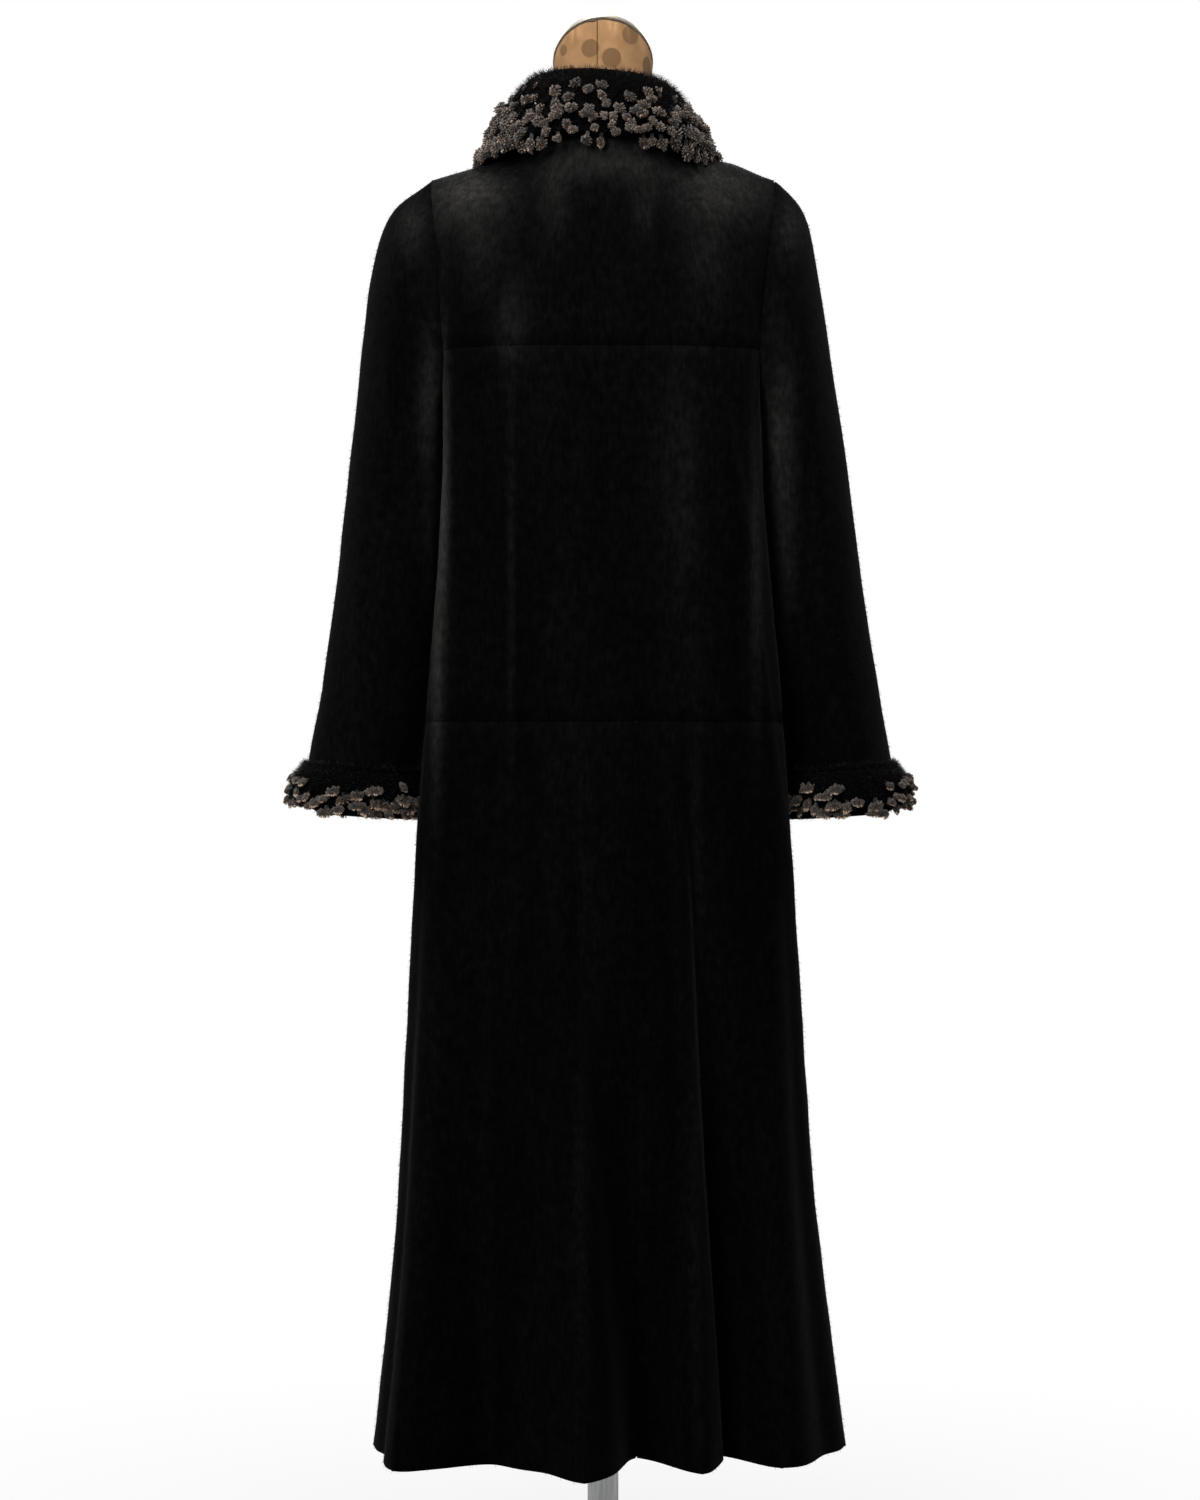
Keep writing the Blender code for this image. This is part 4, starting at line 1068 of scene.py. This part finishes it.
rng = np.random.default_rng(8)
piles = {}
for node, piece in sheared.items():
    area = sum(polygon.area for polygon in piece.data.polygons)
    roots, outs = scatter(piece, int(area * PILE_PER_AREA), rng, PILE_ROOM)
    middle_x, middle_y = axis_of(node)(roots[:, 2])
    outward = (roots - np.stack([middle_x, middle_y, roots[:, 2]], axis=1)) * outs
    facing_out = outward.sum(axis=1) > 0  # the inner side of the wall stays bare
    roots, outs = roots[facing_out], outs[facing_out]
    piles[node] = grow_hairs(
        "pile_" + node,
        roots - outs * PILE_DEPTH,
        hair_directions(outs, PILE_LEAN, rng, PILE_STRAY),
        PILE_LENGTH * rng.uniform(0.7, 1.15, len(roots)),
        PILE_WIDTH,
        np.zeros((len(roots), 2)),
    )

# %% [markdown]
# ## Long hair on the collar and the cuffs
#
# The long black hair stands up along the collar's fold and lies outwards and down over its
# fall. On the cuffs it does the same from their upper edge to where they turn under. None
# grows on what faces down.

# %% Long black hair
HAIR_WIDTH = 0.0006  # coarser than a real hair, so that it shows
HAIR_ROOM = 0.006
HAIR_STRAY = 0.22
LOWEST_FACING = -0.35


def long_hair(name, ground, count, length, lean, seed):
    """Hair on the collar's or a cuff's ground. The seed makes it the same each time."""
    rng = np.random.default_rng(seed)
    roots, outs = scatter(ground, count, rng, HAIR_ROOM)
    roots, outs = roots[outs[:, 2] > LOWEST_FACING], outs[outs[:, 2] > LOWEST_FACING]
    return grow_hairs(
        name,
        roots - outs * HAIR_DEPTH,
        hair_directions(outs, lean, rng, HAIR_STRAY),
        length * rng.uniform(0.6, 1.25, len(roots)),
        HAIR_WIDTH,
        rng.random((len(roots), 2)),
    )


collar_hair = long_hair("collar_hair", collar, 40000, 0.0072, 0.30, 21)
cuff_hairs = {
    side: long_hair(f"cuff_hair_{side}", cuffs[side], 17000, 0.0064, 0.25, 31 + i)
    for i, side in enumerate(cuffs)
}

# %% [markdown]
# ## The tufts
#
# A tuft is a lock of fur that was left long and clipped round, like a small shaving brush. On
# the collar the tufts start a little below the crown, stand closer further down, and hang.
# Along the lower edge they point outwards, and at its two ends they are longer and hang over
# it. On the cuffs they cover the lower half, and at the outer end they reach higher. A new
# tuft is refused where it would stand too close to another.

# %% Where the tufts stand
# Two ovals round the neck: half width, depth behind and depth in front.
SEAM_RING, FALL_RING = (0.072, 0.075, 0.080), (0.1195, 0.104, 0.122)
FALL_SHIFT = 0.0065  # the fall lies a little further out on the left


def ring_share(point, ring, shift):
    """How far out a point lies, where 1 is on the ring."""
    depth = ring[1] if point[1] > 0 else ring[2]
    return math.hypot((point[0] - shift) / ring[0], point[1] / depth)


def fall_share(point):
    """How far out a point of the collar lies, from the neck seam to the fall's edge."""
    inner, outer = ring_share(point, SEAM_RING, 0.0), ring_share(point, FALL_RING, FALL_SHIFT)
    return (inner - 1) / max(inner - outer, 1e-6) if inner > 1 else 0.0


def collar_pose(root, out):
    """A tuft's spacing, how much it hangs and its size, or None where none stands."""
    share = fall_share(root)
    outward = out[0] * root[0] + out[1] * root[1]
    if share < 0.30 or outward < -0.03 or out[2] < -0.99:
        return None
    low = min((share - 0.30) / 0.45, 1)
    edge, aside = ramp(share, 0.78, 0.12), ramp(abs(root[0]), 0.045, 0.035)
    hang = 1.0 - 0.35 * low + 0.32 * edge * aside
    return 0.0180 - 0.0095 * low, hang, 1 + edge * (0.32 * aside - 0.15)


def cuff_pose(side):
    """The same for a cuff."""
    low_corner, high_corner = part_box(f"cuff_{side}")
    axis = axis_of(f"cuff_{side}")

    def pose(root, out):
        middle_x, middle_y = axis(root[2])
        down = (high_corner.z - root[2]) / (high_corner.z - low_corner.z)
        outward = out[0] * (root[0] - middle_x) + out[1] * (root[1] - middle_y)
        end = ramp(abs(root[0]) - abs(middle_x), 0.025, 0.035)
        first = 0.30 - 0.10 * end
        if down < first or down > 0.80 - 0.10 * end or outward < 0 or out[2] < -0.7:
            return None
        low = max(min((down - first) / 0.25, 1), end)
        return 0.0250 - 0.0148 * low, 0.92 - 0.15 * low, 1 - 0.3 * end

    return pose


def spaced_roots(roots, outs, pose):
    """Keeps roots that stand at least their own spacing from every root kept before."""
    kept = []
    for root, out in zip(roots, outs):
        wanted = pose(root, out)
        if wanted and all(np.linalg.norm(root - other[0]) > wanted[0] for other in kept):
            kept.append((root, out, *wanted[1:]))
    return kept


print("fall", FALL_RING[0] * 2, "m wide")

# %% [markdown]
# A tuft's strands leave the pelt close together, run into its middle, and end on an egg-shaped
# surface, where their cut ends stand side by side as coarse grains. The hairs cling together
# in a few bunches, which gives the egg shallow lobes, and the grooves between them are painted
# greyer and darker as shade. On the cuffs the tufts are flatter, like petals, and the ends at
# the far rim are cream and peach.

# %% The shape of a tuft
# Sizes in metres, how deep the lobes are and how much painted shade darkens their grooves,
# how brown the tuft is, which share of its rim is pale, and how pale that is.
Lock = namedtuple(
    "Lock", "length half_width half_depth strands grain lobing grooves brown rim pale"
)
COLLAR_LOCK = Lock(0.0175, 0.0062, 0.0044, 38, 0.0022, 0.15, 0.36, 0.38, 0.16, (0.25, 0.75))
CUFF_LOCK = Lock(0.0160, 0.0085, 0.0030, 60, 0.0018, 0.12, 0.15, 0.36, 0.90, (0.6, 1.0))
GOLDEN_TURN = 2.39996  # radians, which spreads points evenly round an axis
TUFT_ROOT_RADIUS = 0.0016


def round_directions(count):
    """Directions spread evenly over a ball, but for a cap round its root end."""
    heights = 0.75 - 1.75 * (np.arange(count) + 0.5) / count
    turns = np.arange(count) * GOLDEN_TURN
    rings = np.sqrt(1 - heights**2)
    return np.stack([rings * np.cos(turns), rings * np.sin(turns), -heights], axis=1)


def clip_tuft(root, out, hang, size, lock, rng):
    """One tuft's strands: where each starts, its core, its cut end and its two tones.

    The tuft points along its axis, between straight out and straight down. Wide and thick
    are the directions across it, and w, t and along a strand's shares of the three.
    """
    axis = out * (1 - hang) + DOWN * hang + out * 0.25 + rng.normal(0, 0.16, 3)
    axis /= np.linalg.norm(axis)
    wide = np.cross(axis, out)
    wide /= np.linalg.norm(wide) + 1e-9
    thick = np.cross(wide, axis)
    if thick @ out < 0:
        thick = -thick
    length = lock.length * size * rng.uniform(0.7, 1.1) * (0.72 + 0.28 * hang)
    half_width = lock.half_width * size * rng.uniform(0.65, 1.2)
    half_depth = lock.half_depth * rng.uniform(0.8, 1.15)
    middle = root + axis * length * 0.52 + out * half_depth * 0.55
    shade, lobes, phase = rng.normal(0, 0.18), rng.integers(2, 5), rng.uniform(0, 6.3)
    strands = []
    for w, t, along in round_directions(lock.strands):
        wave = math.cos(lobes * math.atan2(w, along) + phase)
        reach = (1 + lock.lobing * (wave - 0.3)) * rng.uniform(0.88, 1.10)
        offset = (wide * w * half_width + thick * t * half_depth) * reach
        offset += axis * along * length * 0.5 * reach
        start = root + (wide * w + thick * t) * TUFT_ROOT_RADIUS - out * TUFT_DEPTH
        sunk = (wide * w + thick * t + axis * along) @ DOWN
        far_rim = sunk > 0.55 and t > -0.4 and rng.random() < lock.rim
        pale = rng.uniform(*lock.pale) if far_rim else 0.0
        # Strands in the grooves are painted greyer and darker as shade, and those on the lobes
        # browner.
        brown = min(max(lock.brown + shade + lock.grooves * wave + rng.normal(0, 0.25), 0), 1)
        strands.append((start, middle + offset * 0.30, middle + offset, (brown, pale)))
    return strands


print(COLLAR_LOCK.strands, "and", CUFF_LOCK.strands, "strands in a tuft")

# %% Grow the tufts
TRIES = 9000
TUFT_ROOM = 0.004


def make_tufts(name, ground, pose, lock, seed):
    rng = np.random.default_rng(seed)
    tufts = spaced_roots(*scatter(ground, TRIES, rng, TUFT_ROOM), pose)
    strands = [strand for placed in tufts for strand in clip_tuft(*placed, lock, rng)]
    starts, cores, tips, tones = (np.array(column) for column in zip(*strands))
    widths = lock.grain * rng.uniform(0.75, 1.2, len(starts))
    print(name, len(tufts), "tufts")
    return grow_clipped(name, starts, cores, tips, widths, tones)


collar_tufts = make_tufts("collar_tufts", collar, collar_pose, COLLAR_LOCK, 41)
cuff_tufts = {
    side: make_tufts(f"cuff_tufts_{side}", cuffs[side], cuff_pose(side), CUFF_LOCK, 51 + i)
    for i, side in enumerate(cuffs)
}

# %% [markdown]
# ## Handing the pieces over
#
# Every piece rides on the one rigid body. A refined piece stands for the coarse solid that
# it was made from, which is hidden. The fur that grows on a sheet goes with it.

# %% Ride and replace
Cut = namedtuple("Cut", "width length area")


def hand_over_sheet(sheet, node, fur):
    """Hands over a sheet with its fur, and hides the solid that it stands for."""
    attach(sheet, "root")
    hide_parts(node)
    for grown in fur:
        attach(grown, "root")


for node, piece in sheared.items():
    hand_over_sheet(piece, node, [piles[node]])
hand_over_sheet(collar, "collar", [collar_hair, collar_tufts])
for side, cuff in cuffs.items():
    fur = [cuff_hairs[side], cuff_tufts[side]]
    hand_over_sheet(cuff, f"cuff_{side}", fur)

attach(torso, "root")
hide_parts("form_body")

# %% [markdown]
# ## The neck plate and the pole
#
# The neck's plate is a disc, cut slantwise from a round bar, with its edge broken by a
# bevel. The pole is a plain tube. Both are exact round shapes, so they are made anew from
# cylinders at the solids' sizes. A disc becomes slanted when each point is moved up by its
# place from front to back, and its outline seen from above stays a circle.

# %% Plate and pole
POLE_RADIUS = 0.016
EDGE_BEVEL = 0.0006
METAL_SHARP_ANGLE = math.radians(35)


def new_round(name, radius, height, middle_z, vertices):
    bpy.ops.object.select_all(action="DESELECT")
    bpy.ops.mesh.primitive_cylinder_add(
        vertices=vertices, radius=radius, depth=height, location=(0, 0, middle_z)
    )
    piece = bpy.context.object
    piece.name = piece.data.name = name
    bpy.ops.object.transform_apply(location=True, rotation=True, scale=True)
    return piece


def finish_metal(piece, node, finish):
    piece.data.materials.append(finish)
    select_only(piece)
    bpy.ops.object.shade_smooth_by_angle(angle=METAL_SHARP_ANGLE)
    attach(piece, "root")
    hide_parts(node)
    print(node, "faces", len(piece.data.polygons))


plate = new_round("neck_plate", PLATE_RADIUS, PLATE_THICKNESS, 0, 128)
plate_middle = (plate_box[0].z + plate_box[1].z) / 2
for vertex in plate.data.vertices:
    vertex.co.z += plate_middle + PLATE_SLOPE * vertex.co.y
edge = plate.modifiers.new("broken edge", "BEVEL")
edge.width, edge.segments, edge.limit_method = EDGE_BEVEL, 3, "ANGLE"
bpy.ops.object.modifier_apply(modifier=edge.name)
finish_metal(plate, "form_neck_plate", plate_metal)

pole_low, pole_high = (corner.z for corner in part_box("stand_pole"))
pole = new_round("pole", POLE_RADIUS, pole_high - pole_low, (pole_low + pole_high) / 2, 64)
finish_metal(pole, "stand_pole", pole_metal)

# %% [markdown]
# ## The foot
#
# The foot is a cast disc that rises to a hub round the pole. It is turned: half of its
# outline, from the hub's top out to the rim and back under it, is spun round the middle.

# %% Foot
FOOT_PROFILE = [  # distance from the middle, and height
    (0.0, 0.052), (0.022, 0.052), (0.026, 0.048), (0.028, 0.028), (0.040, 0.021),
    (0.105, 0.0175), (0.170, 0.014), (0.186, 0.010), (0.190, 0.006), (0.190, 0.0), (0.0, 0.0),
]
FOOT_STEPS = 96
WELD = 0.00002

foot = new_piece("foot", bpy.data.meshes.new("foot"))
outline = [(radius, 0.0, height) for radius, height in FOOT_PROFILE]
foot.data.from_pydata(outline, [(i, i + 1) for i in range(len(outline) - 1)], [])
select_only(foot)
bpy.ops.object.mode_set(mode="EDIT")
bpy.ops.mesh.select_all(action="SELECT")
bpy.ops.mesh.spin(steps=FOOT_STEPS, angle=math.tau, center=(0, 0, 0), axis=(0, 0, 1))
bpy.ops.mesh.select_all(action="SELECT")
bpy.ops.mesh.remove_doubles(threshold=WELD)
bpy.ops.mesh.normals_make_consistent(inside=False)
bpy.ops.object.mode_set(mode="OBJECT")
finish_metal(foot, "stand_foot", paint)
